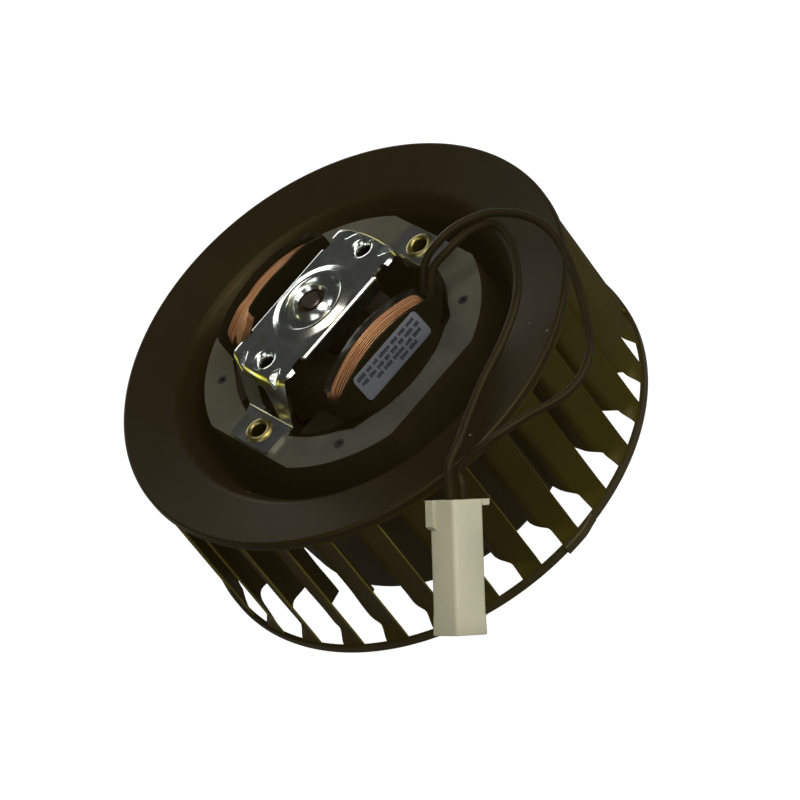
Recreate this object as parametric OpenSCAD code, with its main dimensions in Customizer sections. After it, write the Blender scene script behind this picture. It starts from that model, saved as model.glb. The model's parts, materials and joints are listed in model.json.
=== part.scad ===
// Blower motor wheel: a forward-curved steel wheel with a round shaded-pole
// motor nested in its deep-drawn back disc, and a two-way plug on its lead.
// Origin: on the shaft axis, in the plane of the eyelet lips that a bracket
// bears on. +Z points out of the motor side, +X runs through the eyelets.

/* [Wheel] */
// Outer diameter of the wheel at its rim
wheel_d = 140; // [138:1:146]
// Height from the rim to the open edge of the inlet ring
wheel_h = 54; // [50:1:58]
// Depth of the back disc's pan below the rim
pan_depth = 62; // [60:1:66]
// Radius of the crease where the annulus turns down into the pan
pan_mouth_r = 53.5; // [53:0.5:55]
// Radius of the pan wall at its floor
pan_floor_r = 43; // [41:0.5:44]
// Number of blades
blade_count = 30; // [24:1:32]
// Sheet thickness of the blades
blade_t = 0.6; // [0.5:0.1:0.7]
// Sheet thickness of the back disc
disc_t = 0.8; // [0.6:0.1:1]
// Height of the inlet ring
ring_h = 3; // [2.5:0.5:4]

/* [Motor] */
// Diameter of the round laminations
core_d = 87.5; // [86:0.5:88]
// Width across the flats of the laminations
core_flats = 80.4; // [80:0.2:82]
// Diameter of the opening inside the lamination ring
core_open_d = 66.6; // [65.6:0.2:67]
// Height of the lamination stack
stack_h = 20; // [18:1:22]
// Diameter of the rotor
rotor_d = 36; // [35:0.5:36.4]
// Diameter of the shaft
shaft_d = 6; // [5:0.5:6]
// Radius of the self-aligning bearing balls
ball_r = 6.5; // [6.3:0.1:6.6]

/* [Bridges] */
// Thickness of the bridge sheet
sheet_t = 1.2; // [1:0.1:1.3]
// Distance between the two eyelets
eyelet_spacing = 70; // [69:0.5:71]
// Distance between the two threaded holes of a bridge
screw_spacing = 42; // [40:0.5:43]
// Height of the bridge face above the eyelet lips
bridge_rise = 15.6; // [15:0.2:17]
// Length of the bridge's flat face along X
face_l = 48; // [47:0.5:49]
// Width of the bridge's flat face along Y
face_w = 25; // [24:0.5:26]
// Width of the bridge's feet
foot_w = 19; // [18:0.5:21]

/* [Lead] */
// Outer diameter of each lead wire
lead_d = 2.4; // [2:0.1:2.6]
// Length of the plug housing
plug_l = 37.5; // [35:0.5:40]
// Width of the plug housing's square section
plug_w = 10.2; // [9.8:0.1:10.8]

/* [Hidden] */
$fn = 96;
eps = 0.02;
wheel_r = wheel_d / 2;
lip_t = 0.6;
core_sunk = 0.6;
core_top = -lip_t - sheet_t;
core_mid = core_top - stack_h / 2;
core_bottom = core_top - stack_h;
rim_z = core_top + core_sunk;
ring_z = rim_z - wheel_h;
floor_z = rim_z - pan_depth;
fold_t = 0.6;
blade_top_z = rim_z - 3.6;
notch_h = 10;
notch_r = 5;
band_r = wheel_r - disc_t - eps;
eyelet_x = eyelet_spacing / 2;
screw_x = screw_spacing / 2;
face_mid = bridge_rise - sheet_t / 2;
foot_mid = -lip_t - sheet_t / 2;
ball_z = bridge_rise - 4;
ball_half = 4.6;
shaft_r = shaft_d / 2;
run_gap = 0.02;
cup_r = ball_r + sheet_t / 2 + eps;
ring_end_h = 3;
stub_r = 2.5;
hub_h = 14;
washer_t = 0.8;
nut_h = 4;
neck_w = 17;
bore_r = 18.4;
shoe_r = 22;
coil_in = 21.8;
coil_out = 26.2;
coil_w = 39;
arch_rise = 25.9;
arch_r = 36.5;
sleeve_t = 0.9;
cover_t = 1.2;
cover_top = core_top + 14.4;
cover_lean = 16;
lean_foot_y = 29.75;
shade_turn = 50;
seam_turn = -95.5;

// ---- paths: sheet sections and wire centrelines ----

function unit(v) = v / norm(v);
function turn_left(v) = [-v[1], v[0]];

// Points of the arc that rounds the corner at b between a and c
function corner(a, b, c, r, n) =
    let (
        u = unit(a - b),
        v = unit(c - b),
        half = acos(u * v) / 2,
        o = b + r / sin(half) * unit(u + v),
        s = b + r / tan(half) * u - o,
        e = b + r / tan(half) * v - o,
        from = atan2(s[1], s[0]),
        sweep = (atan2(e[1], e[0]) - from + 540) % 360 - 180
    )
    [for (k = [0:n]) o + r * [cos(from + sweep * k / n), sin(from + sweep * k / n)]];

// A path with each inner corner rounded to the radius given for it
function bent(p, radii, n = 6) = [
    p[0],
    for (i = [1:len(p) - 2]) each corner(p[i - 1], p[i], p[i + 1], radii[i - 1], n),
    p[len(p) - 1]
];

// Mitred side direction of a path at point i
function side(p, i) =
    let (
        before = unit(p[max(i, 1)] - p[max(i, 1) - 1]),
        after = i < len(p) - 1 ? unit(p[i + 1] - p[i]) : before,
        m = unit(turn_left(before) + turn_left(after))
    )
    m / (m * turn_left(before));

// Outline of a sheet of thickness t whose middle follows path p
function sheet(p, t) = [
    for (i = [0:len(p) - 1]) p[i] + t / 2 * side(p, i),
    for (i = [len(p) - 1:-1:0]) p[i] - t / 2 * side(p, i)
];

// Smooth curve through the points p, n steps to each span
function smooth(p, n) =
    let (last = len(p) - 1)
    [
        for (i = [0:last - 1])
            let (
                a = p[max(i - 1, 0)],
                b = p[i],
                c = p[i + 1],
                d = p[min(i + 2, last)]
            )
            for (k = [0:n - 1])
                let (t = k / n)
                b + t * (c - a) / 2 + t * t * (2 * a - 5 * b + 4 * c - d) / 2
                    + t * t * t * (3 * b - a - 3 * c + d) / 2,
        p[last]
    ];

// Round tube of diameter d along the points p
module tube(p, d, sides = 12) {
    guide = unit([0.5, -0.5, 0.7]);
    last = len(p) - 1;
    rings = [
        for (i = [0:last])
            let (
                along = unit(p[min(i + 1, last)] - p[max(i - 1, 0)]),
                u = unit(cross(along, guide)),
                v = cross(along, u)
            )
            for (k = [0:sides - 1])
                p[i] + d / 2 * (cos(360 * k / sides) * u + sin(360 * k / sides) * v)
    ];
    walls = [
        for (i = [0:last - 1])
            for (k = [0:sides - 1])
                let (a = i * sides + k, b = i * sides + (k + 1) % sides)
                [a, a + sides, b + sides, b]
    ];
    caps = [
        [for (k = [0:sides - 1]) k],
        [for (k = [sides - 1:-1:0]) last * sides + k]
    ];
    polyhedron(rings, concat(walls, caps));
}

module rounded_plate(l, w, r) {
    square([l - 2 * r, w], center = true);
    square([l, w - 2 * r], center = true);
    for (x = [-1, 1], y = [-1, 1]) {
        translate([x * (l / 2 - r), y * (w / 2 - r)]) circle(r);
    }
}

module washer(r_in, r_out, h) {
    linear_extrude(h) difference() {
        circle(r_out);
        circle(r_in);
    }
}

// ---- wheel ----

// Middle line of the back disc, from the rim's folded skirt to the centre
function disc_path() = bent([
    [wheel_r - disc_t / 2, rim_z - 2.4],
    [wheel_r - disc_t / 2, rim_z - disc_t / 2],
    [pan_mouth_r, rim_z - 3],
    [pan_mouth_r - 4, rim_z - 8],
    [pan_floor_r, floor_z + disc_t / 2],
    [shaft_r, floor_z + disc_t / 2]
], [0.5, 4, 8, 5], 8);

module wheel_back_disc() {
    color("#241e18") difference() {
        rotate_extrude() polygon(sheet(disc_path(), disc_t));
        for (a = [0:120:240]) {
            rotate(a) translate([11, 0, floor_z - 1]) cylinder(r = 1.5, h = 4);
        }
    }
}

// Section of one blade: leading flat at the rim, bend, then inner flat
function blade_path() =
    let (
        lead = 9.72,
        inner = 7.92,
        lean = 26,
        close = 105,
        start = [band_r - blade_t / 2, 0],
        knee = start - lead * [sin(lean), cos(lean)],
        tip = knee - inner * [sin(close), cos(close)]
    )
    bent([start, knee, tip], [3.3], 6);

module blade() {
    finger_z = ring_z + ring_h - 0.6;
    notch_z = ring_z + ring_h + notch_h;
    notch_x = band_r - 3.2;
    difference() {
        translate([0, 0, finger_z]) {
            linear_extrude(blade_top_z - finger_z) polygon(sheet(blade_path(), blade_t));
        }
        translate([0, 5, 0]) rotate([90, 0, 0]) linear_extrude(20) {
            translate([notch_x - 20, finger_z - 1]) {
                square([20, notch_z - notch_r - finger_z + 1]);
            }
            translate([notch_x - 20, finger_z - 1]) {
                square([20 - notch_r, notch_z - finger_z + 1]);
            }
            translate([notch_x - notch_r, notch_z - notch_r]) circle(notch_r);
        }
    }
}

module blade_strip() {
    band_h = 3;
    color("#2d260f") {
        for (i = [0:blade_count - 1]) {
            rotate(360 / blade_count * (i + 0.5)) blade();
        }
        translate([0, 0, blade_top_z - 0.6]) washer(band_r - blade_t, band_r, 2.4);
        translate([0, 0, ring_z + 0.7]) washer(band_r - blade_t, band_r, band_h - 0.7);
    }
}

// Rolled channel that closes the strip's open edge, with its lapped seam
module inlet_ring() {
    lap = 0.7;
    lap_turn = 10;
    section = bent([
        [band_r + fold_t / 2 + eps, ring_z + ring_h],
        [band_r + fold_t / 2 + eps, ring_z + fold_t / 2],
        [band_r - blade_t - fold_t / 2 - eps, ring_z + fold_t / 2],
        [band_r - blade_t - fold_t / 2 - eps, ring_z + 2]
    ], [0.4, 0.4], 4);
    color("#3c3a30") {
        rotate_extrude() polygon(sheet(section, fold_t));
        rotate(seam_turn) rotate_extrude(angle = lap_turn) {
            translate([band_r + fold_t / 2, ring_z]) square([lap + fold_t / 2, ring_h]);
        }
    }
}

// Flanged driver, riveted to the pan's floor
module wheel_hub() {
    base = floor_z + disc_t;
    flange_t = 1.6;
    color("#8c8a84") difference() {
        translate([0, 0, base]) union() {
            cylinder(r = 15, h = flange_t);
            cylinder(r = 7.5, h = hub_h);
        }
        translate([0, 0, base - 1]) cylinder(r = shaft_r, h = hub_h + 2);
        for (a = [0:120:240]) {
            rotate(a) translate([11, 0, base - 1]) cylinder(r = 1.5, h = 4);
        }
    }
}

module hub_rivets() {
    head_r = 2.6;
    head_t = 1;
    grip = disc_t + 1.6;
    color("#9a988f") for (a = [0:120:240]) {
        rotate(a) translate([11, 0, floor_z]) {
            cylinder(r = 1.5, h = grip);
            translate([0, 0, -head_t]) cylinder(r = head_r, h = head_t);
            translate([0, 0, grip]) cylinder(r = head_r, h = head_t);
        }
    }
}

module shaft_lock_washer() {
    color("#a3a19a") translate([0, 0, floor_z - washer_t]) washer(stub_r, 5.5, washer_t);
}

module shaft_nut() {
    across = 8;
    color("#b1afa6") translate([0, 0, floor_z - washer_t - nut_h]) difference() {
        cylinder(r = across / sqrt(3), h = nut_h, $fn = 6);
        translate([0, 0, -1]) cylinder(r = stub_r, h = nut_h + 2);
    }
}

module motor_shaft() {
    end_z = bridge_rise + 1.6;
    chamfer = 0.4;
    stub_end = floor_z - washer_t - nut_h - 1.5;
    color("#6f6b62") {
        translate([0, 0, floor_z]) cylinder(r = shaft_r, h = end_z - chamfer - floor_z);
        translate([0, 0, end_z - chamfer]) {
            cylinder(r1 = shaft_r, r2 = shaft_r - chamfer, h = chamfer);
        }
        translate([0, 0, stub_end]) cylinder(r = stub_r, h = floor_z - stub_end);
    }
}

// ---- rotor ----

bar_count = 17;
bar_r = 1.1;
bar_pitch_r = rotor_d / 2 - 2.2;

module bar_holes(r) {
    for (i = [0:bar_count - 1]) {
        rotate(360 / bar_count * i) translate([bar_pitch_r, 0]) circle(r, $fn = 24);
    }
}

module rotor_core() {
    color("#4d4a44") translate([0, 0, core_bottom]) linear_extrude(stack_h) difference() {
        circle(rotor_d / 2);
        circle(shaft_r);
        bar_holes(bar_r + run_gap);
    }
}

module rotor_cage() {
    color("#a8a69f") {
        translate([0, 0, core_bottom]) linear_extrude(stack_h) bar_holes(bar_r);
        for (z = [core_top, core_bottom - ring_end_h]) {
            translate([0, 0, z]) washer(bar_pitch_r - 5, rotor_d / 2 - 0.6, ring_end_h);
        }
    }
}

// Height of the gap between the rotor and a bearing, on either side
function sleeve_top() = ball_z - ball_half - 0.9;

// Both ends of the motor are alike about the middle of the stack
module both_ends() {
    children();
    translate([0, 0, 2 * core_mid]) mirror([0, 0, 1]) children();
}

module spacer_sleeves() {
    color("#c8b27a") both_ends() {
        translate([0, 0, core_top]) washer(shaft_r, 5, sleeve_top() - core_top);
    }
}

module thrust_washers() {
    color("#7a3f24") both_ends() {
        translate([0, 0, sleeve_top()]) washer(shaft_r, 5.6, 0.7);
    }
}

// ---- stator ----

module shading_slots(gap) {
    for (a = [0, 180]) {
        rotate(a + shade_turn) {
            translate([bore_r - 1, 5.1 - gap]) square([22.3 - bore_r + gap, 1.5 + 2 * gap]);
            translate([bore_r - 1, -12]) square([8, 7]);
        }
    }
}

module core_section() {
    difference() {
        intersection() {
            circle(core_d / 2, $fn = 180);
            square(core_flats, center = true);
        }
        difference() {
            circle(core_open_d / 2, $fn = 180);
            square([neck_w, core_open_d + 4], center = true);
            intersection() {
                circle(shoe_r);
                square([32, 2 * shoe_r + 2], center = true);
            }
            for (x = [-eyelet_x, eyelet_x]) {
                translate([x, 0]) circle(6.6);
            }
        }
        circle(bore_r);
        square([40, 16], center = true);
        shading_slots(0.1);
        for (x = [-eyelet_x, eyelet_x]) {
            translate([x, 0]) circle(2.95);
        }
        for (a = [45:90:315]) {
            rotate(a) translate([38, 0]) circle(1.6);
        }
    }
}

module stator_core() {
    color("#5b5954") translate([0, 0, core_bottom]) linear_extrude(stack_h) core_section();
}

module stack_rivets() {
    dimple_r = 0.8;
    color("#6b6962") for (a = [45:90:315]) {
        rotate(a) translate([38, 0, core_bottom]) difference() {
            cylinder(r = 1.6, h = stack_h);
            translate([0, 0, stack_h - 0.5]) cylinder(r = dimple_r, h = 1);
        }
    }
}

// Closed copper turns in the leading pole tips
module shading_rings() {
    color("#b5683a") for (a = [0, 180]) {
        rotate(a + shade_turn) translate([0, 0, core_mid]) difference() {
            translate([20.1, 0.8, 0]) cube([1.8, 11.6, stack_h + 3.4], center = true);
            translate([20.1, 0.1, 0]) cube([4, 10, stack_h + 0.4], center = true);
        }
    }
}

// Builds a coil part on the near pole (-Y) or, turned half round, the far one
module on_pole(far) {
    rotate(far ? 0 : 180) translate([0, 0, core_mid]) children();
}

// Extrudes an XZ outline between two distances from the shaft along Y
module between_y(y0, y1) {
    translate([0, y1, 0]) rotate([90, 0, 0]) linear_extrude(y1 - y0) children();
}

// Outline of a coil's side: straight flanks closed by arched end turns
module arch_outline(w, rise, r) {
    intersection() {
        square([w, 2 * rise + 2], center = true);
        translate([0, rise - r]) circle(r, $fn = 180);
        translate([0, r - rise]) circle(r, $fn = 180);
    }
}

module bobbin(far) {
    window = [neck_w + 0.4, stack_h + 0.4];
    body = window + 2 * sleeve_t * [1, 1];
    flange = [0.9, 26];
    color("#17140f") on_pole(far) difference() {
        union() {
            between_y(20.5, coil_out) square(body, center = true);
            between_y(20.5, 21.4) arch_outline(coil_w - 3, arch_rise - 3, arch_r);
            between_y(coil_out, coil_out + flange[0]) square([34, flange[1]], center = true);
        }
        between_y(19, 29) square(window, center = true);
    }
}

module bobbin_near() { bobbin(false); }
module bobbin_far() { bobbin(true); }

module winding(far) {
    hole = [neck_w + 0.4, stack_h + 0.4] + 2 * sleeve_t * [1, 1] + 2 * eps * [1, 1];
    color("#b0673b") on_pole(far) between_y(coil_in, coil_out - eps) difference() {
        arch_outline(coil_w, arch_rise, arch_r);
        square(hole, center = true);
    }
}

module winding_near() { winding(false); }
module winding_far() { winding(true); }

module insulation_films() {
    film_t = 0.3;
    color("#8d8d86") for (far = [false, true]) {
        on_pole(far) between_y(21.45, 21.45 + film_t) difference() {
            arch_outline(coil_w, arch_rise + 0.8, arch_r);
            square([coil_w + 1, stack_h + 3], center = true);
        }
    }
}

// Moulded hood outside a coil: leaning wall over a base that fills the ring
module coil_cover(far) {
    base_r = core_open_d / 2 - 0.2;
    wall_h = cover_top - core_top;
    wall = [
        [lean_foot_y, 0],
        [lean_foot_y - wall_h * tan(cover_lean) * 0.85, wall_h],
        [lean_foot_y - wall_h * tan(cover_lean) * 0.85 + cover_t, wall_h],
        [lean_foot_y + cover_t, 0]
    ];
    // half of the wall seen from outside: narrow foot, shoulders, arched crest
    front = [[12, 0], [19.5, 5.5], [20, 9.6], [17.5, 11.3], [13, 13], [7, 14.1], [0.5, wall_h]];
    color("#1a1712") rotate(far ? 0 : 180) translate([0, 0, core_top]) {
        linear_extrude(cover_t) difference() {
            intersection() {
                circle(base_r, $fn = 180);
                translate([-base_r, 13]) square([2 * base_r, base_r]);
            }
            translate([-coil_w / 2 - 0.4, 0]) square([coil_w + 0.8, coil_out + 1.3]);
            translate([-24.6, 0]) square([49.2, 21]);
        }
        intersection() {
            translate([-21, 0, 0]) rotate([90, 0, 90]) linear_extrude(42) polygon(wall);
            rotate([90, 0, 0]) linear_extrude(80, center = true) {
                polygon([for (s = [1, -1], q = s > 0 ? front : [for (k = [6:-1:0]) front[k]])
                    [s * q[0], q[1]]]);
            }
        }
    }
}

module coil_cover_near() { coil_cover(false); }
module coil_cover_far() { coil_cover(true); }

module rating_label() {
    label = [26.5, 9];
    label_t = 0.15;
    drop = 6.8;
    lean = atan(tan(cover_lean) * 0.85);
    slope = cover_top - core_top;
    y_top = lean_foot_y - slope * tan(lean) + cover_t;
    color("#8a8c93") {
        translate([0, -y_top, cover_top]) rotate([90 - lean, 0, 0]) {
            translate([0, -drop, eps]) linear_extrude(label_t) {
                rounded_plate(label[0], label[1], 1.2);
            }
        }
    }
}

// ---- bridges, bearings and eyelets ----

// Middle line of the bridge seen along Y
function bridge_path() = bent([
    [-core_flats / 2 + 0.3, foot_mid],
    [-28.4, foot_mid],
    [-face_l / 2, face_mid],
    [face_l / 2, face_mid],
    [28.4, foot_mid],
    [core_flats / 2 - 0.3, foot_mid]
], [1.6, 2.4, 2.4, 1.6], 6);

// Middle line of the bearing dome: crest, groove, then the ball cup
function dome_path() =
    let (
        cup = [for (a = [60:-5:35]) [cup_r * sin(a), ball_z + cup_r * cos(a)]],
        rise = bent([
            [11.8, face_mid],
            [9.7, face_mid + 1.5],
            [8.5, face_mid + 1.5],
            [7.3, face_mid - 0.6],
            cup[0]
        ], [1.2, 0.9, 0.9], 4)
    )
    [each rise, for (i = [1:len(cup) - 1]) cup[i]];

module bridge_shape() {
    dome_r = 11.6;
    leg_slot = [7.5, 4.6, 8.6];
    flange = [30.4, 4.2];
    difference() {
        union() {
            intersection() {
                rotate([90, 0, 0]) linear_extrude(face_w, center = true) {
                    polygon(sheet(bridge_path(), sheet_t));
                }
                translate([0, 0, -5]) linear_extrude(40) {
                    rounded_plate(face_l + 3, face_w, 3.5);
                    rounded_plate(core_flats, foot_w, 1.5);
                }
            }
            for (y = [-1, 1]) {
                translate([0, y * (face_w - sheet_t) / 2, bridge_rise - flange[1] / 2]) {
                    cube([flange[0], sheet_t, flange[1]], center = true);
                }
            }
            for (x = [-screw_x, screw_x]) {
                translate([x, 0, bridge_rise - 3]) cylinder(r = 2.7, h = 3);
            }
        }
        translate([0, 0, bridge_rise - 6]) cylinder(r = dome_r, h = 10);
        for (x = [-screw_x, screw_x]) {
            translate([x, 0, 0]) cylinder(r = 1.75, h = 30);
        }
        for (x = [-eyelet_x, eyelet_x]) {
            translate([x, 0, -5]) cylinder(r = 2.95, h = 10);
        }
        for (x = [-1, 1]) {
            translate([x * (face_l / 2 + 2), 0, 7.2]) {
                cube(leg_slot, center = true);
            }
        }
    }
    rotate_extrude() polygon(sheet(dome_path(), sheet_t));
}

module front_bridge() {
    color("#b9bbb4") bridge_shape();
}

module rear_bridge() {
    color("#b9bbb4") translate([0, 0, 2 * core_mid]) mirror([0, 0, 1]) bridge_shape();
}

// Brass tubes rolled over at both ends, clamping bridges and stack together
module tubular_rivets() {
    tube_r = 2.95 - eps;
    hole_r = 2.35;
    lip_r = 4.25;
    color("#b08d3c") for (x = [-eyelet_x, eyelet_x]) {
        translate([x, 0, 2 * core_mid]) washer(hole_r, tube_r, -2 * core_mid);
        translate([x, 0, -lip_t + eps]) washer(hole_r, lip_r, lip_t - eps);
        translate([x, 0, 2 * core_mid]) washer(hole_r, lip_r, lip_t - eps);
    }
}

module bearing_shape() {
    color("#8a6f4a") translate([0, 0, ball_z]) difference() {
        intersection() {
            sphere(ball_r - eps);
            cylinder(r = ball_r + 1, h = 2 * ball_half, center = true);
        }
        cylinder(r = shaft_r + run_gap, h = 4 * ball_half, center = true);
    }
}

module front_bearing() { bearing_shape(); }
module rear_bearing() { translate([0, 0, 2 * core_mid]) mirror([0, 0, 1]) bearing_shape(); }

// Spring cone with relief slots, holding the ball up into its cup
module retainer_shape() {
    spring_t = 0.4;
    under = bridge_rise - sheet_t;
    cone = [
        [11.2, under - spring_t / 2 - eps],
        [10, under - spring_t / 2 - eps],
        [5.4, ball_z - 4.05]
    ];
    color("#77756c") difference() {
        rotate_extrude() polygon(sheet(cone, spring_t));
        for (a = [0:60:300]) {
            rotate(a) translate([4, -0.6, ball_z - 6]) cube([4.2, 1.2, 5.4]);
        }
    }
}

module front_bearing_retainer() { retainer_shape(); }
module rear_bearing_retainer() {
    translate([0, 0, 2 * core_mid]) mirror([0, 0, 1]) retainer_shape();
}

module felt_rings() {
    color("#b9ab8b") both_ends() {
        translate([0, 0, ball_z + 0.3]) washer(ball_r + 0.06, ball_r + 1.1, 1.4);
    }
}

// ---- lead ----

// The plug hangs askew outside the wheel; its local +Z points up its leads
plug_turn = [-21.62, 51, -2.96];
plug_top = [-23.5, -76.9, rim_z - 0.2];
pin_x = 2.1;
cavity_r = 1.7;

function spin(v, a, axis) =
    axis == 0 ? [v[0], v[1] * cos(a) - v[2] * sin(a), v[1] * sin(a) + v[2] * cos(a)] :
    axis == 1 ? [v[0] * cos(a) + v[2] * sin(a), v[1], v[2] * cos(a) - v[0] * sin(a)] :
    [v[0] * cos(a) - v[1] * sin(a), v[0] * sin(a) + v[1] * cos(a), v[2]];
function plug_point(v) =
    plug_top + spin(spin(spin(v, plug_turn[0], 0), plug_turn[1], 1), plug_turn[2], 2);

// Last points of a lead: straight into its cavity, down to the crimp
function lead_entry(x) = [
    plug_point([x, 0, 9]),
    plug_point([x, 0, 3]),
    plug_point([x, 0, -3]),
    plug_point([x, 0, -9])
];

// Way points of each lead above the rim: out of the stator, over the disc
// and round the outside of the wheel
outer_way = [
    [22.6, -17.2, 2.6],
    [28, -16.2, 8.4],
    [33.5, -17.8, 11.2],
    [40.5, -19.8, 11.8],
    [48.2, -24.6, 10.8],
    [53, -33.9, 9.3],
    [53.6, -43, 7.5],
    [50.5, -52.4, 5.6],
    [44.7, -62.4, 4],
    [37.5, -72, 1.8],
    [30.6, -79.9, 0.8],
    [22.3, -84.6, 0.8],
    [13.7, -85.3, 1.8],
    [3.5, -82, 3.8],
    [-7.7, -79, 5.4]
];
inner_way = [
    [22.2, -20.2, 2.4],
    [27.6, -19, 7],
    [33.6, -20.6, 9],
    [41.6, -22.8, 9.6],
    [46.6, -27.4, 9.4],
    [46, -34.4, 9.1],
    [41.6, -42, 8.6],
    [34.8, -49.8, 8],
    [26.9, -55.2, 7.4],
    [16.6, -59.4, 6.8],
    [5.4, -62.6, 6.3],
    [-5, -67.1, 6.2],
    [-13.5, -71.4, 6.4]
];

module lead(way, x) {
    color("#16130f") tube(smooth(concat(way, lead_entry(x)), 4), lead_d);
}

module lead_wire_outer() { lead(outer_way, pin_x); }
module lead_wire_inner() { lead(inner_way, -pin_x); }

module at_plug() {
    translate(plug_top) rotate(plug_turn) children();
}

module plug_housing() {
    collar_l = 8;
    collar_out = 1.1;
    tab = [2.2, 6, 1.7];
    color("#c9c6b2") at_plug() difference() {
        union() {
            translate([0, 0, -plug_l]) linear_extrude(plug_l) {
                rounded_plate(plug_w, plug_w, 0.8);
            }
            translate([-plug_w / 2 - collar_out, 2 - plug_w / 2, -collar_l]) {
                cube([collar_out + 1, plug_w - 2, collar_l]);
            }
            translate([plug_w / 2 - 1, -tab[1] / 2, -tab[2]]) {
                cube([tab[0] + 1, tab[1], tab[2]]);
            }
        }
        for (x = [-pin_x, pin_x]) {
            translate([x, 0, -plug_l - 1]) cylinder(r = cavity_r, h = plug_l + 2);
        }
    }
}

// Crimped contacts: barrel against the lead's end, then the pin
module plug_terminals() {
    barrel_l = 8;
    pin_l = 16;
    color("#a9a7a0") at_plug() for (x = [-pin_x, pin_x]) {
        translate([x, 0, -9.1 - barrel_l]) cylinder(r = cavity_r - 0.1, h = barrel_l);
        translate([x, 0, -9.1 - barrel_l - pin_l]) cylinder(r = 1, h = pin_l);
    }
}

wheel_back_disc();
blade_strip();
inlet_ring();
wheel_hub();
hub_rivets();
shaft_lock_washer();
shaft_nut();
motor_shaft();
rotor_core();
rotor_cage();
spacer_sleeves();
thrust_washers();
stator_core();
stack_rivets();
shading_rings();
bobbin_near();
bobbin_far();
winding_near();
winding_far();
insulation_films();
coil_cover_near();
coil_cover_far();
rating_label();
front_bridge();
rear_bridge();
tubular_rivets();
front_bearing();
rear_bearing();
front_bearing_retainer();
rear_bearing_retainer();
felt_rings();
lead_wire_outer();
lead_wire_inner();
plug_housing();
plug_terminals();
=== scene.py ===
import functools
import json
import math
import random

import bmesh
import bpy
from mathutils import Matrix, Vector, geometry, noise


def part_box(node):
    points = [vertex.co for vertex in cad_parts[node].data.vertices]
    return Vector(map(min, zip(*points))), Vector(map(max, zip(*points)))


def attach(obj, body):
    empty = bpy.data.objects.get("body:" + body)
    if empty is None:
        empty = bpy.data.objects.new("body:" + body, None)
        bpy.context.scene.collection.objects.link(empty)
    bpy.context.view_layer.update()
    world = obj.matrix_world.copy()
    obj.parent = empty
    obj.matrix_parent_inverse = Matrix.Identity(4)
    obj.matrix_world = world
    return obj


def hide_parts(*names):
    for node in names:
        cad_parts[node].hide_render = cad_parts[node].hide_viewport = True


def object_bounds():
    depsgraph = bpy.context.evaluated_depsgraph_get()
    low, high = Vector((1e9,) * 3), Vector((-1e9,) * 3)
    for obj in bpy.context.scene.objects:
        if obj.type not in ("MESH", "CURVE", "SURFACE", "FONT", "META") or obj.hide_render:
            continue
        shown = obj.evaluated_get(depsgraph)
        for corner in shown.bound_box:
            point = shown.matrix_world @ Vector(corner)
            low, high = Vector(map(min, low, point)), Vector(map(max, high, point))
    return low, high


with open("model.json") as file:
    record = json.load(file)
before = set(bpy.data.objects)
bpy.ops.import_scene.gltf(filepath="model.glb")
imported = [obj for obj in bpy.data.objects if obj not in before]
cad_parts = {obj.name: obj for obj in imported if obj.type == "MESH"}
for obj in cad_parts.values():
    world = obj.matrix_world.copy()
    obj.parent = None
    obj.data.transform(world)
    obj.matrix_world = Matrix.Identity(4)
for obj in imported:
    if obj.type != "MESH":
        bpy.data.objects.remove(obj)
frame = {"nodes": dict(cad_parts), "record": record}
CAD_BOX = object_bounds()
MM = 0.001
rnd = random.Random(7)


def box_mm(node):
    lo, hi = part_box(node)
    return lo / MM, hi / MM


# ---- places taken from the frame, in millimetres ----

disc_lo, disc_hi = box_mm("wheel_back_disc")
ring_lo, ring_hi = box_mm("inlet_ring")
core_lo, core_hi = box_mm("stator_core")
WHEEL_R = disc_hi.x
RIM_Z = disc_hi.z
FLOOR_Z = disc_lo.z
RING_Z = ring_lo.z
RING_TOP = ring_hi.z
CORE_TOP = core_hi.z
CORE_BOTTOM = core_lo.z
CORE_MID = (CORE_TOP + CORE_BOTTOM) / 2

# ---- camera ----

CAM_RIGHT = Vector((0.6385, -0.6189, -0.4577))
CAM_UP = Vector((0.740, 0.330, 0.5855))
SENSOR, LENS = 36, 270
VIEW_WIDTH = 3.19744 * WHEEL_R  # what the view spans at the rim
RIM_PLACE = (-16.535, 17.038)  # the rim's centre, right and up of the view's middle


def make_camera():
    right = CAM_RIGHT.normalized()
    back = right.cross(CAM_UP).normalized()
    up = back.cross(right)
    away = VIEW_WIDTH * LENS / SENSOR
    eye = Vector((0, 0, RIM_Z)) - RIM_PLACE[0] * right - RIM_PLACE[1] * up + away * back
    data = bpy.data.cameras.new("camera")
    data.sensor_width = SENSOR
    data.lens = LENS
    data.clip_start = 0.05
    data.clip_end = 20
    cam = bpy.data.objects.new("camera", data)
    bpy.context.scene.collection.objects.link(cam)
    turn = Matrix((right, up, back)).transposed().to_4x4()
    cam.matrix_world = Matrix.Translation(eye * MM) @ turn
    bpy.context.scene.camera = cam
    return right, up, back


RIGHT, UP, BACK = make_camera()


# ---- materials ----

BOW = 2.3  # how far the bridge's face bend bows outward, in millimetres
HALF_FACE = 12.2  # half the width of the bridge's face at that bend


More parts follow.
